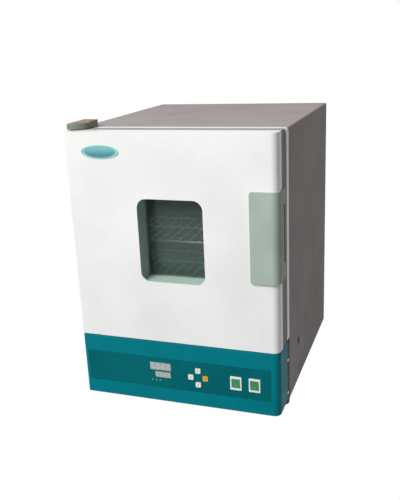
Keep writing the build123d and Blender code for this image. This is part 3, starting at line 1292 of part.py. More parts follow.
def exhaust_tube():
    """Exhaust duct from the chamber to a spigot behind the rear cover."""
    y0 = LINER_REAR - EXHAUST_FLANGE_T
    tube = rod_y(EXHAUST_X, EXHAUST_Z, y0, COVER_FACE + EXHAUST_OUT, EXHAUST_R)
    tube += rod_y(EXHAUST_X, EXHAUST_Z, y0, LINER_REAR, EXHAUST_FLANGE_R)
    bead_y = COVER_FACE + EXHAUST_OUT - SPIGOT_L
    tube += rod_y(EXHAUST_X, EXHAUST_Z, bead_y - BEAD_T, bead_y, BEAD_R)
    tube -= rod_y(EXHAUST_X, EXHAUST_Z, y0 - 1, COVER_FACE + EXHAUST_OUT + 1, EXHAUST_R - EXHAUST_T)
    return tube - rod_x(DAMPER_Y, EXHAUST_Z, EXHAUST_X - 2 * EXHAUST_R, EXHAUST_X + 2 * EXHAUST_R,
                        SPINDLE_R + SPINDLE_PLAY)


def exhaust_damper():
    """Butterfly disc on its spindle, with a lever outside the duct. It lies open, lever down."""
    radius = EXHAUST_R - EXHAUST_T - DAMPER_PLAY
    disc = Pos(EXHAUST_X, DAMPER_Y, EXHAUST_Z) * Cylinder(radius, DAMPER_T)
    tip = EXHAUST_X + EXHAUST_R + SPINDLE_OUT
    damper = disc + rod_x(DAMPER_Y, EXHAUST_Z, EXHAUST_X - EXHAUST_R - 1, tip, SPINDLE_R)
    reach = LEVER_L - LEVER_W
    lever = Pos(DAMPER_Y, EXHAUST_Z - reach / 2) * SlotCenterToCenter(reach, LEVER_W, 90)
    arm = prism_x(lever, tip - LEVER_T, tip)
    return damper + arm


# Fan


def fan_wheel():
    """Centrifugal wheel: curved blades between a hub disc and a front ring."""
    y0, y1 = WHEEL_Y, WHEEL_Y + WHEEL_D
    disc = Pos(0, CHAMBER_MID) * Circle(WHEEL_R)
    eye = Pos(0, CHAMBER_MID) * Circle(WHEEL_EYE_R)
    wheel = prism_y(disc, y1 - WHEEL_DISC_T, y1) + prism_y(disc - eye, y0, y0 + WHEEL_DISC_T)
    inner = (BLADE_IN_R, 0)
    outer_r = WHEEL_R - 1
    outer = (outer_r * cos(radians(BLADE_TURN)), outer_r * sin(radians(BLADE_TURN)))
    middle_r = (BLADE_IN_R + outer_r) / 2
    middle = (middle_r * cos(radians(BLADE_TURN * 0.32)), middle_r * sin(radians(BLADE_TURN * 0.32)))
    blade = trace(ThreePointArc(inner, middle, outer), BLADE_T)
    for number in range(BLADES):
        turned = Pos(0, CHAMBER_MID) * Rot(0, 0, number * 360 / BLADES) * blade
        wheel += prism_y(turned, y0 + WHEEL_DISC_T / 2, y1 - WHEEL_DISC_T / 2)
    wheel += rod_y(0, CHAMBER_MID, y1 - HUB_L, y1, HUB_R)
    return wheel - rod_y(0, CHAMBER_MID, y0 - 1, y1 + 1, SHAFT_R + SHAFT_PLAY)


def fan_shaft():
    """Shaft from the wheel through the insulation to the motor's rear bearing."""
    return rod_y(0, CHAMBER_MID, WHEEL_Y + WHEEL_D - HUB_L, MOTOR_Y + MOTOR_L + 2, SHAFT_R)


def fan_motor():
    """Finned motor body with a bearing boss at each end."""
    y0, y1 = MOTOR_Y, MOTOR_Y + MOTOR_L
    motor = rod_y(0, CHAMBER_MID, y0 + MOTOR_BELL, y1 - MOTOR_BELL, MOTOR_R - MOTOR_FIN)
    motor += rod_y(0, CHAMBER_MID, y0, y1, MOTOR_BELL_R)
    for number in range(MOTOR_FINS):
        fin = Pos(MOTOR_R - MOTOR_FIN, 0) * Rectangle(2 * MOTOR_FIN, MOTOR_FIN)
        turned = Pos(0, CHAMBER_MID) * Rot(0, 0, number * 360 / MOTOR_FINS) * fin
        motor += prism_y(turned, y0 + MOTOR_BELL, y1 - MOTOR_BELL)
    return motor - rod_y(0, CHAMBER_MID, y0 - 1, y1 + 1, SHAFT_R + SHAFT_PLAY)


def motor_bracket():
    """Bridge from the bulkhead that carries the motor by its front face."""
    half = BRACKET_W / 2
    y0 = BULKHEAD_Y + BULKHEAD_T
    y1 = MOTOR_Y
    bridge = block(-half, half, y1 - BRACKET_T, y1, CHAMBER_MID - MOTOR_BELL_R, CHAMBER_MID + MOTOR_BELL_R)
    for sign in (-1, 1):
        x0, x1 = sorted((sign * half, sign * (half - BRACKET_T)))
        bridge += block(x0, x1, y0, y1, CHAMBER_MID - MOTOR_BELL_R, CHAMBER_MID + MOTOR_BELL_R)
        x0, x1 = sorted((sign * (half - BRACKET_T), sign * (half + BRACKET_FOOT)))
        bridge += block(x0, x1, y0, y0 + BRACKET_T, CHAMBER_MID - MOTOR_BELL_R, CHAMBER_MID + MOTOR_BELL_R)
    return bridge - rod_y(0, CHAMBER_MID, y0, y1 + 1, SHAFT_R + SHAFT_CLEAR)


def all_parts():
    """Every node of the oven by name."""
    parts = {
        "outer_shell": outer_shell(), "front_frame": front_frame(), "base_chassis": base_chassis(),
        "rear_cover": rear_cover(), "rear_bulkhead": rear_bulkhead(), "chamber_liner": chamber_liner(),
        "cabinet_insulation": cabinet_insulation(), "air_baffle": air_baffle(),
        "rubber_feet": rubber_feet(), "foot_screws": foot_screws(),
        "hinge_bracket_upper": hinge_bracket_upper(), "hinge_bracket_lower": hinge_bracket_lower(),
        "hinge_washer": hinge_washer(), "hinge_bushes": hinge_bushes(),
        "door_catches": door_catches(), "catch_plates": catch_plates(),
        "door_skin": door_skin(), "door_inner_shell": door_inner_shell(),
        "door_insulation": door_insulation(), "window_well": window_well(),
        "window_outer_glass": window_outer_glass(), "glass_spacer": glass_spacer(),
        "window_inner_glass": window_inner_glass(), "door_inner_panel": door_inner_panel(),
        "door_screws": door_screws(), "door_gasket": door_gasket(), "door_handle": door_handle(),
        "badge_plate": badge_plate(), "control_panel": control_panel(), "panel_film": panel_film(),
        "display_upper": display(UPPER_DISPLAY_X, UPPER_DISPLAY_Z, UPPER_DISPLAY_W, UPPER_DISPLAY_H),
        "display_lower": display(LOWER_DISPLAY_X, LOWER_DISPLAY_Z, LOWER_DISPLAY_W, LOWER_DISPLAY_H),
        "indicator_lamps": indicator_lamps(), "controller_board": controller_board(),
        "switch_housings": switch_housings(), "rocker_power": rocker(SWITCH_XS[0]),
        "rocker_fan": rocker(SWITCH_XS[1]), "side_access_cover": side_access_cover(),
        "port_grommet": port_grommet(), "power_inlet": power_inlet(), "fuse_holders": fuse_holders(),
        "solid_state_relay": solid_state_relay(), "casing_screws": casing_screws(),
        "shelf_rack_left": shelf_rack(-1), "shelf_rack_right": shelf_rack(1),
        "shelf_upper": shelf(UPPER_SHELF_LEVEL), "shelf_lower": shelf(LOWER_SHELF_LEVEL),
        "heater_element": heater_element(), "temperature_probe": temperature_probe(),
        "exhaust_tube": exhaust_tube(), "exhaust_damper": exhaust_damper(), "fan_wheel": fan_wheel(),
        "fan_shaft": fan_shaft(), "fan_motor": fan_motor(), "motor_bracket": motor_bracket(),
    }
    for name, place in key_places().items():
        parts[name] = key(place)
    return parts


os.makedirs("parts", exist_ok=True)
for name, shape in all_parts().items():
    export_step(shape, f"parts/{name}.step")
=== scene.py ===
"""Looks of a bench-top laboratory drying oven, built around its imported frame."""
from __future__ import annotations

import json
import logging
import math
from abc import ABC, abstractmethod
from dataclasses import dataclass
from enum import Enum
from typing import Any, Iterable, Union

import bmesh
import bpy
from mathutils import Matrix, Vector

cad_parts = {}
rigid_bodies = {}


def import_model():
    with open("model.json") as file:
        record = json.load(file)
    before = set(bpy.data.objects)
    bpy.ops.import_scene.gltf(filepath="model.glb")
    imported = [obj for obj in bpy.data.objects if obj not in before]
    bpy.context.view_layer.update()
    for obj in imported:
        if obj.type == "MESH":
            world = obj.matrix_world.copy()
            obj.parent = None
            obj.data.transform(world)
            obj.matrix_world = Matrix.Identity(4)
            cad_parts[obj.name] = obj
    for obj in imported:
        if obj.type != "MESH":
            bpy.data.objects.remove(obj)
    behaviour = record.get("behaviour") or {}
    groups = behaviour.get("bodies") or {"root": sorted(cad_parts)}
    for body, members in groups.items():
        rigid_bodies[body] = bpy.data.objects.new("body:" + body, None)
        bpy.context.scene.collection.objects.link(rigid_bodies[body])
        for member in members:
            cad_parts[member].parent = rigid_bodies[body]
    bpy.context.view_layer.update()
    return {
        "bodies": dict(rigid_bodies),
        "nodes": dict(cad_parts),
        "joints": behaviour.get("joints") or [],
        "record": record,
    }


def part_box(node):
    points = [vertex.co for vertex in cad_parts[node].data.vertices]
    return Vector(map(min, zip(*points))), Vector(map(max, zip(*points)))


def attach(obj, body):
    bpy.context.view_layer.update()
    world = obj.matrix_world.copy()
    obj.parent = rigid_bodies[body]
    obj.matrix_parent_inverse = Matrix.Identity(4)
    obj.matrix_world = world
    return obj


LOG = logging.getLogger("drying_oven")
MM = 0.001

Colour = tuple[float, float, float]
Number = Union[float, "Value"]


def tone(red: float, green: float, blue: float) -> Colour:
    """Turns a display colour into the linear colour that a shader takes.

    Args:
        red: Red from 0 to 255.
        green: Green from 0 to 255.
        blue: Blue from 0 to 255.

    Returns:
        The linear colour, each part from 0 to 1.
    """
    return tuple(((c / 255 + 0.055) / 1.055) ** 2.4 if c > 10.3 else c / 255 / 12.92
                 for c in (red, green, blue))


class Value:
    """A number socket of a material, which takes part in ordinary arithmetic."""

    def __init__(self, graph: "Graph", socket: bpy.types.NodeSocket) -> None:
        """Wraps a socket.

        Args:
            graph: The material's graph.
            socket: The output socket that carries the number.
        """
        self.graph = graph
        self.socket = socket

    def _math(self, operation: str, *terms: Number) -> "Value":
        """Adds one Math node.

        Args:
            operation: The node's operation.
            *terms: Its inputs, in order.

        Returns:
            The node's result.
        """
        node = self.graph.node("ShaderNodeMath", {"operation": operation},
                               dict(enumerate(terms)))
        return Value(self.graph, node.outputs[0])

    def __add__(self, other: Number) -> "Value":
        """This plus other."""
        return self._math("ADD", self, other)

    __radd__ = __add__

    def __mul__(self, other: Number) -> "Value":
        """This times other."""
        return self._math("MULTIPLY", self, other)

    __rmul__ = __mul__

    def __sub__(self, other: Number) -> "Value":
        """This minus other."""
        return self._math("SUBTRACT", self, other)

    def __rsub__(self, other: Number) -> "Value":
        """Other minus this."""
        return self._math("SUBTRACT", other, self)

    def __truediv__(self, other: Number) -> "Value":
        """This over other."""
        return self._math("DIVIDE", self, other)

    def step(self, low: float, high: float) -> "Value":
        """Smooth step from 0 at low to 1 at high.

        Args:
            low: Value that gives 0.
            high: Value that gives 1.

        Returns:
            The eased value, between 0 and 1.
        """
        node = self.graph.node("ShaderNodeMapRange", {"interpolation_type": "SMOOTHSTEP"},
                               {"Value": self, "From Min": low, "From Max": high})
        return Value(self.graph, node.outputs["Result"])


class Graph:
    """Node tree of one material, with short ways to add the nodes that the finishes use."""

    def __init__(self, name: str) -> None:
        """Makes an empty material with its output and main shader.

        Args:
            name: The material's name.
        """
        self.material = bpy.data.materials.new(name)
        self.material.use_nodes = True
        self.tree = self.material.node_tree
        self.tree.nodes.clear()
        self.shader = self.node("ShaderNodeBsdfPrincipled")
        self.node("ShaderNodeOutputMaterial", inputs={"Surface": self.shader.outputs[0]})
        self.place = self.node("ShaderNodeTexCoord").outputs["Object"]

    def node(self, kind: str, settings: dict[str, Any] | None = None,
             inputs: dict[Any, Any] | None = None) -> bpy.types.Node:
        """Adds a node, sets it up and joins its sockets.

        Args:
            kind: The node's type.
            settings: Attributes to set first.
            inputs: A value, socket or Value for each named or numbered input.

        Returns:
            The new node.
        """
        node = self.tree.nodes.new(kind)
        for key, value in (settings or {}).items():
            setattr(node, key, value)
        for key, value in (inputs or {}).items():
            self.join(node.inputs[key], value)
        return node

    def join(self, socket: bpy.types.NodeSocket, value: Any) -> None:
        """Links a socket, or sets its plain value.

        Args:
            socket: The input socket.
            value: A Value, an output socket, a number, a colour or a vector.
        """
        if isinstance(value, Value):
            value = value.socket
        if isinstance(value, bpy.types.NodeSocket):
            self.tree.links.new(value, socket)
        elif socket.type == "RGBA" and len(value) == 3:
            socket.default_value = (*value, 1.0)
        else:
            socket.default_value = value

    def stretched(self, scale: tuple[float, float, float],
                  turn: tuple[float, float, float] = (0.0, 0.0, 0.0)) -> bpy.types.NodeSocket:
        """Object coordinates, scaled along each axis.

        Args:
            scale: Scale along x, y and z.
            turn: Rotation in degrees, made before the scale.

        Returns:
            The vector output.
        """
        angles = tuple(math.radians(a) for a in turn)
        node = self.node("ShaderNodeMapping", None,
                         {"Vector": self.place, "Rotation": angles, "Scale": scale})
        return node.outputs[0]

    def noise(self, scale: float, detail: float = 2.0, rough: float = 0.5,
              place: bpy.types.NodeSocket | None = None) -> Value:
        """Noise pattern between about 0.3 and 0.7.

        Args:
            scale: Repeats to a metre.
            detail: Octaves.
            rough: Strength of the finer octaves.
            place: Coordinates, or the object's own.

        Returns:
            The noise.
        """
        node = self.node("ShaderNodeTexNoise", None,
                         {"Vector": place or self.place, "Scale": scale, "Detail": detail,
                          "Roughness": rough})
        return Value(self, node.outputs[0])

    def axis(self, letter: str) -> Value:
        """One of the object's coordinates, in metres.

        Args:
            letter: X, Y or Z.

        Returns:
            The coordinate.
        """
        node = self.node("ShaderNodeSeparateXYZ", None, {0: self.place})
        return Value(self, node.outputs[letter])

    def facing(self, letter: str) -> Value:
        """How much the surface faces along an axis of the object.

        Args:
            letter: X, Y or Z.

        Returns:
            That part of the surface normal, from -1 to 1.
        """
        normal = self.node("ShaderNodeTexCoord").outputs["Normal"]
        node = self.node("ShaderNodeSeparateXYZ", None, {0: normal})
        return Value(self, node.outputs[letter])

    def mix(self, share: Number, low: Any, high: Any) -> bpy.types.NodeSocket:
        """Mix of two colours.

        Args:
            share: Share of the second colour.
            low: Colour or socket at 0.
            high: Colour or socket at 1.

        Returns:
            The colour output.
        """
        node = self.node("ShaderNodeMix", {"data_type": "RGBA"})
        self.join(node.inputs[0], share)
        self.join(node.inputs[6], low)
        self.join(node.inputs[7], high)
        return node.outputs[2]

    def bump(self, height: Number, depth: float, strength: float) -> bpy.types.NodeSocket:
        """Bump from a height.

        Args:
            height: Height, where 1 is depth.
            depth: Depth in metres.
            strength: Share of the bump.

        Returns:
            The normal output.
        """
        node = self.node("ShaderNodeBump", None,
                         {"Height": height, "Distance": depth, "Strength": strength})
        return node.outputs[0]

    def set(self, **sockets: Any) -> None:
        """Fills the main shader's sockets; an underscore in a name stands for a space."""
        for name, value in sockets.items():
            self.join(self.shader.inputs[name.replace("_", " ")], value)


def shaded(colour: Colour, factor: float) -> Colour:
    """A colour made lighter or darker by a factor."""
    return tuple(min(1.0, part * factor) for part in colour)


def spread(colour: Colour, share: float) -> tuple[Colour, Colour]:
    """A colour made darker and made lighter by the same share."""
    return shaded(colour, 1 - share), shaded(colour, 1 + share)


@dataclass(frozen=True)
class Finish(ABC):
    """What a surface is made of and how it has been worked."""

    colour: Colour
    roughness: float

    @abstractmethod
    def shade(self, graph: Graph) -> None:
        """Builds the finish's nodes.

        Args:
            graph: The material's graph.
        """

    def rubbed(self, graph: Graph, scale: float, detail: float, change: float) -> Value:
        """Roughness that varies about the finish's own.

        Args:
            graph: The material's graph.
            scale: Repeats to a metre.
            detail: Octaves.
            change: How strongly it varies.

        Returns:
            The roughness.
        """
        return graph.noise(scale, detail) * change + (self.roughness - change / 2)

    def material(self, name: str) -> bpy.types.Material:
        """Makes the material.

        Args:
            name: The material's name.

        Returns:
            The finished material.
        """
        graph = Graph(name)
        self.shade(graph)
        return graph.material


@dataclass(frozen=True)
class Enamel(Finish):
    """Stoved paint on sheet metal: faint orange peel, slow changes of tone, a little dust."""

    peel: float = 420.0
    depth: float = 0.00002
    coat: float = 0.25
    coat_roughness: float = 0.12
    clouds: float = 5.0
    drift: float = 0.04
    dust: float = 30.0
    shine: float = 0.4

    def shade(self, graph: Graph) -> None:
        """Builds the finish's nodes.

        Args:
            graph: The material's graph.
        """
        slow = graph.noise(self.clouds, 3.0, 0.6)
        fine = graph.noise(self.peel, 2.0, 0.55)
        low, high = spread(self.colour, self.drift)
        graph.set(Base_Color=graph.mix(slow.step(0.35, 0.65), low, high),
                  Roughness=self.rubbed(graph, self.dust, 4.0, 0.12),
                  Coat_Weight=self.coat, Coat_Roughness=self.coat_roughness,
                  Specular_IOR_Level=self.shine, Normal=graph.bump(fine, self.depth, 0.6))


@dataclass(frozen=True)
class Brushed(Finish):
    """Metal with a grain of fine parallel scratches."""

    grain: tuple[float, float, float] = (6.0, 6.0, 900.0)
    depth: float = 0.00001
    contrast: float = 0.12
    smears: float = 9.0
    scratch_effect: float = 0.22
    smear_effect: float = 0.16
    metal: float = 1.0

    def shade(self, graph: Graph) -> None:
        """Builds the finish's nodes.

        Args:
            graph: The material's graph.
        """
        lines = graph.noise(1.0, 4.0, 0.6, graph.stretched(self.grain))
        smear = graph.noise(self.smears, 3.0, 0.6)
        low, high = spread(self.colour, self.contrast)
        base = self.roughness - (self.scratch_effect + self.smear_effect) / 2
        graph.set(Base_Color=graph.mix(lines.step(0.3, 0.7), low, high),
                  Metallic=self.metal,
                  Roughness=lines * self.scratch_effect + smear * self.smear_effect + base,
                  Normal=graph.bump(lines, self.depth, 0.7))


@dataclass(frozen=True)
class Spangled(Finish):
    """Zinc-coated sheet with a pattern of flat crystals."""

    crystals: float = 70.0
    darkest: float = 0.8
    lightest: float = 1.12
    metal: float = 0.9
    pits: float = 200.0
    depth: float = 0.00002

    def shade(self, graph: Graph) -> None:
        """Builds the finish's nodes.

        Args:
            graph: The material's graph.
        """
        pattern = graph.node("ShaderNodeTexVoronoi", None,
                             {"Vector": graph.place, "Scale": self.crystals})
        grey = graph.node("ShaderNodeRGBToBW", None, {0: pattern.outputs["Color"]})
        share = Value(graph, grey.outputs[0])
        graph.set(Base_Color=graph.mix(share, shaded(self.colour, self.darkest),
                                       shaded(self.colour, self.lightest)),
                  Metallic=self.metal, Roughness=share * 0.2 + (self.roughness - 0.1),
                  Normal=graph.bump(graph.noise(self.pits), self.depth, 0.4))


@dataclass(frozen=True)
class Moulded(Finish):
    """Moulded plastic with a fine grain and light handling marks."""

    grain: float = 900.0
    depth: float = 0.00003
    coat: float = 0.0
    coat_roughness: float = 0.08
    clouds: float = 14.0
    drift: float = 0.05
    handling: float = 60.0
    shine: float = 0.4

    def shade(self, graph: Graph) -> None:
        """Builds the finish's nodes.

        Args:
            graph: The material's graph.
        """
        slow = graph.noise(self.clouds, 3.0, 0.6)
        pits = graph.noise(self.grain, 3.0, 0.6)
        low, high = spread(self.colour, self.drift)
        graph.set(Base_Color=graph.mix(slow.step(0.35, 0.68), low, high),
                  Roughness=self.rubbed(graph, self.handling, 4.0, 0.16),
                  Coat_Weight=self.coat, Coat_Roughness=self.coat_roughness,
                  Specular_IOR_Level=self.shine, Normal=graph.bump(pits, self.depth, 0.7))


@dataclass(frozen=True)
class HingeCover(Finish):
    """Moulded hinge cover with a painted brownish reflection on its upper face."""

    # Painted reflection: the brownish colour laid on the cover's upward-facing surfaces.
    top: Colour = (0.2, 0.1, 0.08)
    blotches: float = 40.0
    grain: float = 800.0
    depth: float = 0.00003

    def shade(self, graph: Graph) -> None:
        """Builds the finish's nodes.

        Args:
            graph: The material's graph.
        """
        # Painted reflection: upward-facing surfaces take the brownish top colour, in blotches.
        patchy_reflection = graph.noise(self.blotches, 3.0) * 0.5 + 0.6
        upper = graph.facing("Z").step(0.55, 0.95) * patchy_reflection
        graph.set(Base_Color=graph.mix(upper, self.colour, self.top),
                  Roughness=self.rubbed(graph, 80.0, 3.0, 0.14),
                  Normal=graph.bump(graph.noise(self.grain, 3.0), self.depth, 0.6))


@dataclass(frozen=True)
class Felted(Finish):
    """Mineral wool: tangled fibres in layers."""

    fibres: float = 260.0
    layering: tuple[float, float, float] = (30.0, 30.0, 160.0)
    darkest: float = 0.62
    lightest: float = 1.1
    depth: float = 0.0012

    def shade(self, graph: Graph) -> None:
        """Builds the finish's nodes.

        Args:
            graph: The material's graph.
        """
        fibre = graph.noise(self.fibres, 8.0, 0.75)
        layers = graph.noise(1.0, 5.0, 0.7, graph.stretched(self.layering))
        share = (fibre * 0.6 + layers * 0.5).step(0.35, 0.75)
        graph.set(Base_Color=graph.mix(share, shaded(self.colour, self.darkest),
                                       shaded(self.colour, self.lightest)),
                  Roughness=fibre * 0.1 + (self.roughness - 0.05),
                  Normal=graph.bump(share, self.depth, 0.8))


@dataclass(frozen=True)
class Pane(Finish):
    """Window glass with a slight tint and a few faint wipe marks."""

    cover: float = 0.3
    wiped: tuple[float, float, float] = (14.0, 14.0, 60.0)
    wipe_slant: float = 30.0
    haze: float = 1.25

    def shade(self, graph: Graph) -> None:
        """Builds the finish's nodes.

        Args:
            graph: The material's graph.
        """
        wipes = graph.noise(1.0, 4.0, 0.6,
                            graph.stretched(self.wiped, (0.0, self.wipe_slant, 0.0)))
        graph.set(Base_Color=graph.mix(wipes.step(0.4, 0.7), self.colour,
                                       shaded(self.colour, self.haze)),
                  Roughness=wipes * 0.05 + self.roughness,
                  Alpha=wipes.step(0.55, 0.75) * 0.05 + self.cover)


@dataclass(frozen=True)
class Elastic(Finish):
    """Rubber or silicone, matte with a soft bloom."""

    blooms: float = 50.0
    darkest: float = 0.85
    lightest: float = 1.35
    grain: float = 700.0
    depth: float = 0.00004

    def shade(self, graph: Graph) -> None:
        """Builds the finish's nodes.

        Args:
            graph: The material's graph.
        """
        bloom = graph.noise(self.blooms, 4.0, 0.65)
        graph.set(Base_Color=graph.mix(bloom.step(0.4, 0.75),
                                       shaded(self.colour, self.darkest),
                                       shaded(self.colour, self.lightest)),
                  Roughness=bloom * 0.15 + (self.roughness - 0.08),
                  Normal=graph.bump(graph.noise(self.grain, 3.0), self.depth, 0.5))


@dataclass(frozen=True)
class Film(Finish):
    """Satin polyester film, printed from behind in two close shades."""

    second: Colour = (0.0, 0.2, 0.25)
    shine: float = 0.06
    clouds: float = 7.0
    grain: float = 300.0
    depth: float = 0.00001

    def shade(self, graph: Graph) -> None:
        """Builds the finish's nodes.

        Args:
            graph: The material's graph.
        """
        slow = graph.noise(self.clouds, 3.0, 0.6)
        graph.set(Base_Color=graph.mix(slow.step(0.3, 0.7), self.colour, self.second),
                  Roughness=self.rubbed(graph, 120.0, 3.0, 0.12),
                  Specular_IOR_Level=self.shine,
                  Normal=graph.bump(graph.noise(self.grain, 2.0), self.depth, 0.5))


@dataclass(frozen=True)
class CircuitBoard(Finish):
    """Solder mask over fine copper tracks."""

    copper: Colour = (0.10, 0.42, 0.16)
    tracks: float = 160.0
    track_width: float = 0.03
    depth: float = 0.00004

    def shade(self, graph: Graph) -> None:
        """Builds the finish's nodes.

        Args:
            graph: The material's graph.
        """
        upright = graph.stretched((1.0, 1.0, 1.0), (90.0, 0.0, 0.0))
        pattern = graph.node("ShaderNodeTexBrick",
                             {"offset": 0.5, "squash": 0.6, "squash_frequency": 3},
                             {"Vector": upright, "Scale": self.tracks,
                              "Mortar Size": self.track_width, "Color1": (0, 0, 0),
                              "Color2": (0, 0, 0), "Mortar": (1, 1, 1)})
        share = Value(graph, pattern.outputs["Fac"])
        graph.set(Base_Color=graph.mix(share, self.colour, self.copper),
                  Roughness=graph.noise(90.0) * 0.1 + self.roughness,
                  Normal=graph.bump(share, self.depth, 0.7))


@dataclass(frozen=True)
class OvalPlate(Finish):
    """Bare enamelled plate: a pale rim and a field that deepens downwards."""

    rim: Colour = (0.3, 0.6, 0.55)
    upper: Colour = tone(120, 196, 192)
    rim_from: float = 0.66
    rim_full: float = 0.74
    coat: float = 0.6
    coat_roughness: float = 0.06
    depth: float = 0.00001
    node: str = "badge_plate"

    def shade(self, graph: Graph) -> None:
        """Builds the finish's nodes.

        Args:
            graph: The material's graph.
        """
        low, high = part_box(self.node)
        across = (graph.axis("X") - (low[0] + high[0]) / 2) / ((high[0] - low[0]) / 2)
        up = (graph.axis("Z") - (low[2] + high[2]) / 2) / ((high[2] - low[2]) / 2)
        ring = (across * across + up * up).step(self.rim_from, self.rim_full)
        field_colour = graph.mix(up.step(-0.7, 0.9), self.colour, self.upper)
        graph.set(Base_Color=graph.mix(ring, field_colour, self.rim),
                  Roughness=self.rubbed(graph, 200.0, 2.0, 0.1),
                  Coat_Weight=self.coat, Coat_Roughness=self.coat_roughness,
                  Normal=graph.bump(graph.noise(400.0), self.depth, 0.4))


class Surface(Enum):
    """Every finish that the oven shows."""

    WHITE_ENAMEL = Enamel(tone(240, 241, 239), 0.42)
    GREY_ENAMEL = Enamel(tone(166, 157, 155), 0.55, peel=700.0, depth=0.00003, coat=0.0,
                         drift=0.06, shine=0.05)
    WELL_ENAMEL = Enamel(tone(176, 200, 190), 0.6, coat=0.0, shine=0.1)
    STAINLESS = Brushed(tone(176, 180, 178), 0.34)
    WIRE = Brushed(tone(240, 242, 240), 0.36, grain=(60.0, 60.0, 60.0), contrast=0.05,
                   metal=0.4)
    HEATER_SHEATH = Brushed(tone(118, 108, 100), 0.44, grain=(90.0, 90.0, 90.0), contrast=0.22)
    TURNED_STEEL = Brushed(tone(196, 197, 198), 0.3, grain=(700.0, 20.0, 700.0))
    ALUMINIUM = Brushed(tone(206, 208, 210), 0.36, grain=(200.0, 10.0, 200.0), contrast=0.07)
    CASTING = Moulded(tone(132, 135, 137), 0.5, grain=500.0, depth=0.00008)
    ZINC = Spangled(tone(186, 190, 193), 0.42)
    BRONZE = Brushed(tone(186, 146, 84), 0.33, grain=(300.0, 300.0, 20.0))
    MAGNET = Moulded(tone(48, 48, 50), 0.55)
    WOOL = Felted(tone(214, 196, 142), 0.95)
    GLASS = Pane(tone(80, 102, 94), 0.03, cover=0.36)
    INNER_GLASS = Pane(tone(70, 88, 82), 0.03, cover=0.14)
    SILICONE = Elastic(tone(206, 200, 188), 0.6)
    RUBBER = Elastic(tone(30, 31, 31), 0.7)
    GRIP = Moulded(tone(174, 188, 178), 0.55, drift=0.04, shine=0.1)
    # Painted shade and painted reflection: the base colour is the grip's plastic made darker
    # for the shade on the cover's front, and the top colour is a painted brownish reflection.
    HINGE = HingeCover(tone(112, 124, 108), 0.5, top=tone(140, 78, 62))
    TEAL = Moulded(tone(0, 124, 136), 0.5, grain=500.0, depth=0.00002, drift=0.05, shine=0.06)
    FILM = Film(tone(0, 106, 112), 0.5, second=tone(0, 97, 106))
    BADGE = OvalPlate(tone(40, 130, 146), 0.25, rim=tone(150, 205, 198))
    DISPLAY = Moulded(tone(158, 168, 163), 0.25, grain=1500.0, depth=0.00001, coat=0.4)
    SEGMENT = Moulded(tone(206, 212, 207), 0.35, grain=1500.0, depth=0.00001)
    LAMP = Moulded(tone(120, 190, 176), 0.25, coat=0.5)
    BOARD = CircuitBoard(tone(12, 88, 44), 0.35)
    KEY_WHITE = Moulded(tone(236, 236, 232), 0.38, coat=0.2)
    KEY_YELLOW = Moulded(tone(222, 176, 40), 0.38, coat=0.2)
    KEY_MARK = Moulded(tone(150, 40, 38), 0.45)
    SWITCH_WHITE = Moulded(tone(238, 240, 236), 0.4, grain=700.0)
    ROCKER = Moulded(tone(4, 128, 72), 0.26, grain=300.0, coat=0.5, drift=0.12)
    ROCKER_MARK = Moulded(tone(190, 226, 206), 0.4)
    BLACK = Moulded(tone(28, 28, 29), 0.5)
    NYLON = Moulded(tone(226, 224, 212), 0.5)


class Wardrobe:
    """Makes each finish's material once and puts it on nodes and pieces."""

    def __init__(self, frame: dict[str, Any]) -> None:
        """Keeps the frame.
        """
        self.frame = frame
        self.made: dict[Surface, bpy.types.Material] = {}

    def material(self, surface: Surface) -> bpy.types.Material:
        """The material of a finish.

        Args:
            surface: The finish.

        Returns:
            Its material, made on first use.
        """
        if surface not in self.made:
            self.made[surface] = surface.value.material(surface.name.lower())
        return self.made[surface]

    def dress(self, surface: Surface, *nodes: str) -> None:
        """Gives CAD nodes their finish.

        Args:
            surface: The finish.
            *nodes: Names of the nodes.
        """
        for name in nodes:
            piece = self.frame["nodes"][name]
            if not piece.material_slots:
                piece.data.materials.append(None)
            for slot in piece.material_slots:
                slot.material = self.material(surface)
            LOG.info("node %s: %s", name, surface.name.lower())


class Workshop:
    """Turns finished bmeshes into pieces that ride on the frame."""

    def __init__(self, wardrobe: Wardrobe) -> None:
        """Keeps the wardrobe.

        Args:
            wardrobe: Where the pieces' finishes come from.
        """
        self.wardrobe = wardrobe

    def piece(self, name: str, mesh: bmesh.types.BMesh, surface: Surface, body: str,
              slot: str) -> bpy.types.Object:
        """Makes an object from a bmesh and hands it to the frame.

        Args:
            name: The piece's name.
            mesh: Its shape, in metres in the row frame; freed here.
            surface: Its finish.
            body: The body that it rides on.
            slot: The record's material slot; not used.

        Returns:
            The new object.
        """
        bmesh.ops.remove_doubles(mesh, verts=mesh.verts, dist=1e-6)
        bmesh.ops.recalc_face_normals(mesh, faces=mesh.faces)
        data = bpy.data.meshes.new(name)
        mesh.to_mesh(data)
        mesh.free()
        data.materials.append(self.wardrobe.material(surface))
        obj = bpy.data.objects.new(name, data)
        bpy.context.scene.collection.objects.link(obj)
        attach(obj, body)
        LOG.info("piece %s on %s: %d faces", name, body, len(data.polygons))
        return obj


def thicken(mesh: bmesh.types.BMesh, face: bmesh.types.BMFace, along: Vector) -> None:
    """Extrudes one flat face into a solid.

    Args:
        mesh: The mesh that holds the face.
        face: The face.
        along: How far and where to.
    """
    grown = bmesh.ops.extrude_face_region(mesh, geom=[face])
    moved = [part for part in grown["geom"] if isinstance(part, bmesh.types.BMVert)]
    bmesh.ops.translate(mesh, verts=moved, vec=along)


def polygon(mesh: bmesh.types.BMesh, points: Iterable[tuple[float, float]], y: float,
            depth: float) -> list[bmesh.types.BMVert]:
    """Adds a prism whose outline lies across Y.

    Args:
        mesh: The mesh to add to.
        points: Corners as (x, z), in metres.
        y: Place of the front face.
        depth: Thickness behind it.

    Returns:
        The prism's vertices.
    """
    before = set(mesh.verts)
    corners = [mesh.verts.new((x, y, z)) for x, z in points]
    thicken(mesh, mesh.faces.new(corners), Vector((0, depth, 0)))
    return [vert for vert in mesh.verts if vert not in before]


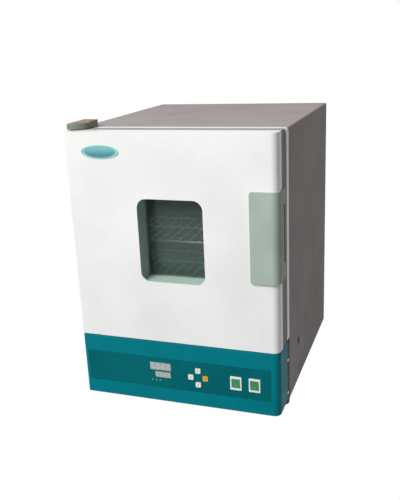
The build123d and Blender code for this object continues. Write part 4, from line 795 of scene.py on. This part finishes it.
@dataclass
class Cabinet:
    """Outer case, base, feet and hinge."""

    wardrobe: Wardrobe

    def build(self) -> None:
        """Dresses the case."""
        self.wardrobe.dress(Surface.GREY_ENAMEL, "outer_shell", "base_chassis", "rear_cover",
                            "side_access_cover")
        self.wardrobe.dress(Surface.WHITE_ENAMEL, "front_frame")
        self.wardrobe.dress(Surface.ZINC, "rear_bulkhead", "motor_bracket",
                            "hinge_bracket_lower")
        self.wardrobe.dress(Surface.HINGE, "hinge_bracket_upper")
        self.wardrobe.dress(Surface.NYLON, "hinge_washer")
        self.wardrobe.dress(Surface.MAGNET, "door_catches")
        self.wardrobe.dress(Surface.RUBBER, "rubber_feet", "port_grommet")
        self.wardrobe.dress(Surface.TURNED_STEEL, "foot_screws", "casing_screws")
        self.wardrobe.dress(Surface.WOOL, "cabinet_insulation")


@dataclass
class Chamber:
    """Liner, shelves, fan, heater, probe and exhaust."""

    wardrobe: Wardrobe

    def build(self) -> None:
        """Dresses the chamber and its air system."""
        self.wardrobe.dress(Surface.STAINLESS, "chamber_liner", "air_baffle", "shelf_rack_left",
                            "shelf_rack_right")
        self.wardrobe.dress(Surface.WIRE, "shelf_upper", "shelf_lower")
        self.wardrobe.dress(Surface.HEATER_SHEATH, "heater_element")
        self.wardrobe.dress(Surface.TURNED_STEEL, "fan_shaft", "temperature_probe",
                            "exhaust_tube", "exhaust_damper")
        self.wardrobe.dress(Surface.ALUMINIUM, "fan_wheel")
        self.wardrobe.dress(Surface.CASTING, "fan_motor")


@dataclass
class Door:
    """Door with its window, grip, seal and plate."""

    wardrobe: Wardrobe

    def build(self) -> None:
        """Dresses the door."""
        self.wardrobe.dress(Surface.WHITE_ENAMEL, "door_skin")
        self.wardrobe.dress(Surface.GREY_ENAMEL, "door_inner_shell")
        self.wardrobe.dress(Surface.WELL_ENAMEL, "window_well")
        self.wardrobe.dress(Surface.STAINLESS, "door_inner_panel")
        self.wardrobe.dress(Surface.GLASS, "window_outer_glass")
        self.wardrobe.dress(Surface.INNER_GLASS, "window_inner_glass")
        self.wardrobe.dress(Surface.SILICONE, "door_gasket", "glass_spacer")
        self.wardrobe.dress(Surface.GRIP, "door_handle")
        self.wardrobe.dress(Surface.BADGE, "badge_plate")
        self.wardrobe.dress(Surface.BRONZE, "hinge_bushes")
        self.wardrobe.dress(Surface.ZINC, "catch_plates")
        self.wardrobe.dress(Surface.TURNED_STEEL, "door_screws")
        self.wardrobe.dress(Surface.WOOL, "door_insulation")


@dataclass
class ControlPanel:
    """Teal front with its film, displays, keys, lamps and rockers."""

    wardrobe: Wardrobe
    workshop: Workshop
    digits: int = 4
    digit_height: float = 0.66          # of the display's height
    digit_width: float = 0.56           # of a digit's share of the display
    digit_centre: float = 0.47          # of that share, from its left
    dot_out: float = 0.8                # of the digit's width, from its middle
    dot_sides: int = 8
    slant: float = 0.08
    bar: float = 0.15                   # half a bar's thickness, of the digit's width
    bar_gap: float = 0.7                # left free at a bar's end, of half its thickness
    relief: float = 0.15 * MM
    mark: float = 1.9 * MM
    rocker_tilt: float = -8.0           # how the rockers stand at rest, in degrees
    rocker_slope: float = 5.5           # lower half of a rocker's face, in degrees
    rocker_mark: tuple[float, float] = (0.7 * MM, 3.0 * MM)
    rocker_mark_drop: float = 5.4 * MM
    rocker_face: float = 4.3 * MM       # in front of the rocker's axis
    axis_behind_bezel: float = 4.0 * MM

    def build(self) -> None:
        """Dresses the panel and adds the digits and marks."""
        dress = self.wardrobe.dress
        dress(Surface.TEAL, "control_panel")
        dress(Surface.FILM, "panel_film")
        dress(Surface.DISPLAY, "display_upper", "display_lower")
        dress(Surface.LAMP, "indicator_lamps")
        dress(Surface.BOARD, "controller_board")
        dress(Surface.KEY_WHITE, "key_up", "key_left", "key_down")
        dress(Surface.KEY_YELLOW, "key_right")
        dress(Surface.SWITCH_WHITE, "switch_housings")
        dress(Surface.ROCKER, "rocker_power", "rocker_fan")
        dress(Surface.BLACK, "power_inlet", "fuse_holders", "solid_state_relay")
        for node in ("display_upper", "display_lower"):
            self.segments(node)
        turns = {"key_up": 0, "key_left": 90, "key_right": 270, "key_down": 180}
        for node, turn in turns.items():
            self.key_mark(node, turn)
        for node in ("rocker_power", "rocker_fan"):
            self.rocker_bar(node)

    def segments(self, node: str) -> None:
        """Adds the unlit bars of a display's digits.

        Args:
            node: The display.
        """
        low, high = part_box(node)
        pitch = (high[0] - low[0]) / self.digits
        height = (high[2] - low[2]) * self.digit_height
        width = pitch * self.digit_width
        thick = self.bar * width
        middle = (low[2] + high[2]) / 2
        mesh = bmesh.new()
        for digit in range(self.digits):
            centre = low[0] + (digit + self.digit_centre) * pitch
            for across in (-1, 1):
                for level in (-1, 1):
                    self.upright(mesh, centre + across * width / 2, middle + level * height / 4,
                                 height / 2, thick, middle, low[1])
            for level in (-1, 0, 1):
                self.level_bar(mesh, centre, middle + level * height / 2, width, thick, middle,
                               low[1])
            turns = (math.tau * step / self.dot_sides for step in range(self.dot_sides))
            dot = polygon(mesh, ((thick * math.cos(turn) + centre + width * self.dot_out,
                                  thick * math.sin(turn) + middle - height / 2)
                                 for turn in turns), low[1] - self.relief, self.relief)
            self.lean(dot, middle)
        self.workshop.piece(f"{node}_segments", mesh, Surface.SEGMENT, "cabinet", "display")

    def lean(self, verts: Iterable[bmesh.types.BMVert], middle: float) -> None:
        """Slants vertices to the right about a level.

        Args:
            verts: The vertices.
            middle: The level that stays.
        """
        for vert in verts:
            vert.co.x += (vert.co.z - middle) * self.slant

    def upright(self, mesh: bmesh.types.BMesh, x: float, z: float, length: float, thick: float,
                middle: float, y: float) -> None:
        """Adds one upright bar with pointed ends.

        Args:
            mesh: The mesh to add to.
            x: The bar's middle.
            z: The bar's middle.
            length: Its length with the gaps at its ends.
            thick: Half its thickness.
            middle: The level that the slant leaves in place.
            y: Front of the display.
        """
        half = length / 2 - thick * self.bar_gap
        points = ((x, z + half), (x - thick, z + half - thick), (x - thick, z - half + thick),
                  (x, z - half), (x + thick, z - half + thick), (x + thick, z + half - thick))
        self.lean(polygon(mesh, points, y - self.relief, self.relief), middle)

    def level_bar(self, mesh: bmesh.types.BMesh, x: float, z: float, length: float,
                  thick: float, middle: float, y: float) -> None:
        """Adds one level bar with pointed ends.

        Args:
            mesh: The mesh to add to.
            x: The bar's middle.
            z: The bar's middle.
            length: Its length with the gaps at its ends.
            thick: Half its thickness.
            middle: The level that the slant leaves in place.
            y: Front of the display.
        """
        half = length / 2 - thick * self.bar_gap
        points = ((x - half, z), (x - half + thick, z + thick), (x + half - thick, z + thick),
                  (x + half, z), (x + half - thick, z - thick), (x - half + thick, z - thick))
        self.lean(polygon(mesh, points, y - self.relief, self.relief), middle)

    def key_mark(self, node: str, turn: float) -> None:
        """Adds the small pointer on a key's face.

        Args:
            node: The key.
            turn: Where it points, in degrees from up, turning left.
        """
        low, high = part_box(node)
        x, z = (low[0] + high[0]) / 2, (low[2] + high[2]) / 2
        mesh = bmesh.new()
        corners = []
        for step in range(3):
            angle = math.radians(90 + turn + step * 120)
            corners.append((x + self.mark * math.cos(angle), z + self.mark * math.sin(angle)))
        polygon(mesh, corners, low[1] - self.relief, self.relief)
        bmesh.ops.bevel(mesh, geom=mesh.edges[:], offset=self.relief / 3, affect="EDGES",
                        segments=1, profile=0.5, material=-1)
        self.workshop.piece(f"{node}_mark", mesh, Surface.KEY_MARK, node, "key_white")

    def rocker_bar(self, node: str) -> None:
        """Adds the plain bar on a rocker's lower half.

        Args:
            node: The rocker.
        """
        low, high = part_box(node)
        x = (low[0] + high[0]) / 2
        frame_low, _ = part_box("switch_housings")
        pivot = Vector((x, frame_low[1] + self.axis_behind_bezel, (low[2] + high[2]) / 2))
        half_w, half_h = self.rocker_mark[0] / 2, self.rocker_mark[1] / 2
        mesh = bmesh.new()
        points = ((-half_w, -half_h), (half_w, -half_h), (half_w, half_h), (-half_w, half_h))
        polygon(mesh, points, -self.relief, self.relief * 2)
        slope = Matrix.Rotation(math.radians(self.rocker_slope), 4, "X")
        drop = Matrix.Translation((0, -self.rocker_face, -self.rocker_mark_drop))
        tilt = Matrix.Rotation(math.radians(self.rocker_tilt), 4, "X")
        bmesh.ops.transform(mesh, matrix=Matrix.Translation(pivot) @ tilt @ drop @ slope,
                            verts=mesh.verts)
        self.workshop.piece(f"{node}_bar", mesh, Surface.ROCKER_MARK, node, "rocker_green")


@dataclass(frozen=True)
class Lamp:
    """One soft square lamp."""

    name: str
    place: tuple[float, float, float]
    size: float
    power: float

    def light(self, target: Vector) -> None:
        """Hangs the lamp.

        Args:
            target: What it points at.
        """
        data = bpy.data.lights.new(self.name, "AREA")
        data.shape = "SQUARE"
        data.size = self.size
        data.energy = self.power
        obj = bpy.data.objects.new(self.name, data)
        obj.location = self.place
        aim = target - Vector(self.place)
        obj.rotation_euler = aim.to_track_quat("-Z", "Y").to_euler()
        bpy.context.scene.collection.objects.link(obj)


@dataclass
class Studio:
    """Camera, lamps, floor and background."""

    eye: tuple[float, float, float] = (0.49557, -1.46566, 0.74784)      # above the base
    turn: tuple[float, float, float] = (-0.3465, -0.3041, -0.0443)      # yaw, pitch, roll
    lens: float = 49.02
    sensor: float = 36.0
    shift: tuple[float, float] = (-0.004, -0.0024)
    reach: float = 50.0
    ambient: float = 0.1
    ambient_colour: Colour = (0.93, 0.96, 1.0)
    floor_size: float = 14.0
    floor_grey: float = 0.4
    floor_glow: float = 1.02
    floor_share: float = 0.985          # of the glow, as camera and mirrors see it
    target: tuple[float, float, float] = (0.0, 0.0, 0.3)
    lamps: tuple[Lamp, ...] = (Lamp("key", (-0.9, -2.4, 2.5), 1.8, 115.0),
                               Lamp("top", (0.2, 0.5, 2.8), 1.6, 6.0),
                               Lamp("side", (2.4, -0.5, 2.4), 1.0, 2.0))
    chamber_lamp: tuple[float, float] = (0.1, 0.08)     # size and power
    chamber_lamp_in: float = 0.06
    chamber_lamp_down: float = 0.03

    def build(self) -> None:
        """Sets up the view and the light."""
        self.camera()
        self.world()
        self.floor()
        for lamp in self.lamps:
            lamp.light(Vector(self.target))
        self.light_chamber()
        bpy.context.scene.view_settings.view_transform = "Standard"

    def light_chamber(self) -> None:
        """Hangs a weak lamp under the chamber's ceiling, behind the door."""
        low, high = (Vector(corner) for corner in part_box("chamber_liner"))
        inside = low.lerp(high, 0.5)
        ceiling = (inside.x, low.y + self.chamber_lamp_in, high.z - self.chamber_lamp_down)
        Lamp("chamber", ceiling, *self.chamber_lamp).light(inside)

    def camera(self) -> None:
        """Places the camera at the photograph's viewpoint."""
        yaw, pitch, roll = self.turn
        forward = Vector((math.sin(yaw) * math.cos(pitch), math.cos(yaw) * math.cos(pitch),
                          math.sin(pitch)))
        level = Vector((math.cos(yaw), -math.sin(yaw), 0))
        upright = level.cross(forward)
        right = level * math.cos(roll) + upright * math.sin(roll)
        up = upright * math.cos(roll) - level * math.sin(roll)
        data = bpy.data.cameras.new("photo_camera")
        data.lens = self.lens
        data.sensor_width = self.sensor
        data.sensor_fit = "AUTO"
        data.shift_x, data.shift_y = self.shift
        data.clip_end = self.reach
        obj = bpy.data.objects.new("photo_camera", data)
        axes = Matrix((right, up, -forward)).transposed().to_4x4()
        above_base = Vector(self.eye) + Vector((0, 0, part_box("base_chassis")[0][2]))
        obj.matrix_world = Matrix.Translation(above_base) @ axes
        bpy.context.scene.collection.objects.link(obj)
        bpy.context.scene.camera = obj

    @staticmethod
    def seen(graph_tree: bpy.types.NodeTree) -> bpy.types.NodeSocket:
        """1 for camera, mirror and see-through rays, which all meet the same background.

        Args:
            graph_tree: The node tree to add to.

        Returns:
            The socket with that number.
        """
        path = graph_tree.nodes.new("ShaderNodeLightPath")
        total = path.outputs["Is Camera Ray"]
        for name in ("Is Glossy Ray", "Is Transmission Ray"):
            node = graph_tree.nodes.new("ShaderNodeMath")
            node.operation = "MAXIMUM"
            graph_tree.links.new(total, node.inputs[0])
            graph_tree.links.new(path.outputs[name], node.inputs[1])
            total = node.outputs[0]
        return total

    def world(self) -> None:
        """White background that gives only a soft ambient light."""
        world = bpy.data.worlds.new("studio")
        world.use_nodes = True
        tree = world.node_tree
        tree.nodes.clear()
        output = tree.nodes.new("ShaderNodeOutputWorld")
        mixed = tree.nodes.new("ShaderNodeMixShader")
        for index, (colour, strength) in enumerate(((self.ambient_colour, self.ambient),
                                                    ((1.0, 1.0, 1.0), 1.0))):
            background = tree.nodes.new("ShaderNodeBackground")
            background.inputs[0].default_value = (*colour, 1.0)
            background.inputs[1].default_value = strength
            tree.links.new(background.outputs[0], mixed.inputs[index + 1])
        tree.links.new(self.seen(tree), mixed.inputs[0])
        tree.links.new(mixed.outputs[0], output.inputs[0])
        bpy.context.scene.world = world

    def floor(self) -> None:
        """Pale floor that reads white and keeps a soft shadow."""
        mesh = bmesh.new()
        bmesh.ops.create_grid(mesh, x_segments=1, y_segments=1, size=self.floor_size / 2)
        data = bpy.data.meshes.new("floor")
        mesh.to_mesh(data)
        mesh.free()
        material = bpy.data.materials.new("pale_floor")
        material.use_nodes = True
        tree = material.node_tree
        tree.nodes.clear()
        output = tree.nodes.new("ShaderNodeOutputMaterial")
        matte = tree.nodes.new("ShaderNodeBsdfDiffuse")
        matte.inputs[0].default_value = (*(self.floor_grey,) * 3, 1)
        glow = tree.nodes.new("ShaderNodeEmission")
        glow.inputs[0].default_value = (1, 1, 1, 1)
        glow.inputs[1].default_value = self.floor_glow
        share = tree.nodes.new("ShaderNodeMath")
        share.operation = "MULTIPLY"
        share.inputs[1].default_value = self.floor_share
        mixed = tree.nodes.new("ShaderNodeMixShader")
        tree.links.new(self.seen(tree), share.inputs[0])
        tree.links.new(share.outputs[0], mixed.inputs[0])
        tree.links.new(matte.outputs[0], mixed.inputs[1])
        tree.links.new(glow.outputs[0], mixed.inputs[2])
        tree.links.new(mixed.outputs[0], output.inputs[0])
        data.materials.append(material)
        obj = bpy.data.objects.new("floor", data)
        bpy.context.scene.collection.objects.link(obj)


def main() -> None:
    """Builds the oven's looks and the studio around the frame."""
    logging.basicConfig(level=logging.INFO, format="%(name)s %(message)s")
    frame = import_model()
    Studio().build()
    wardrobe = Wardrobe(frame)
    workshop = Workshop(wardrobe)
    for part in (Cabinet(wardrobe), Chamber(wardrobe), Door(wardrobe),
                 ControlPanel(wardrobe, workshop)):
        part.build()


if __name__ == "__main__":
    main()
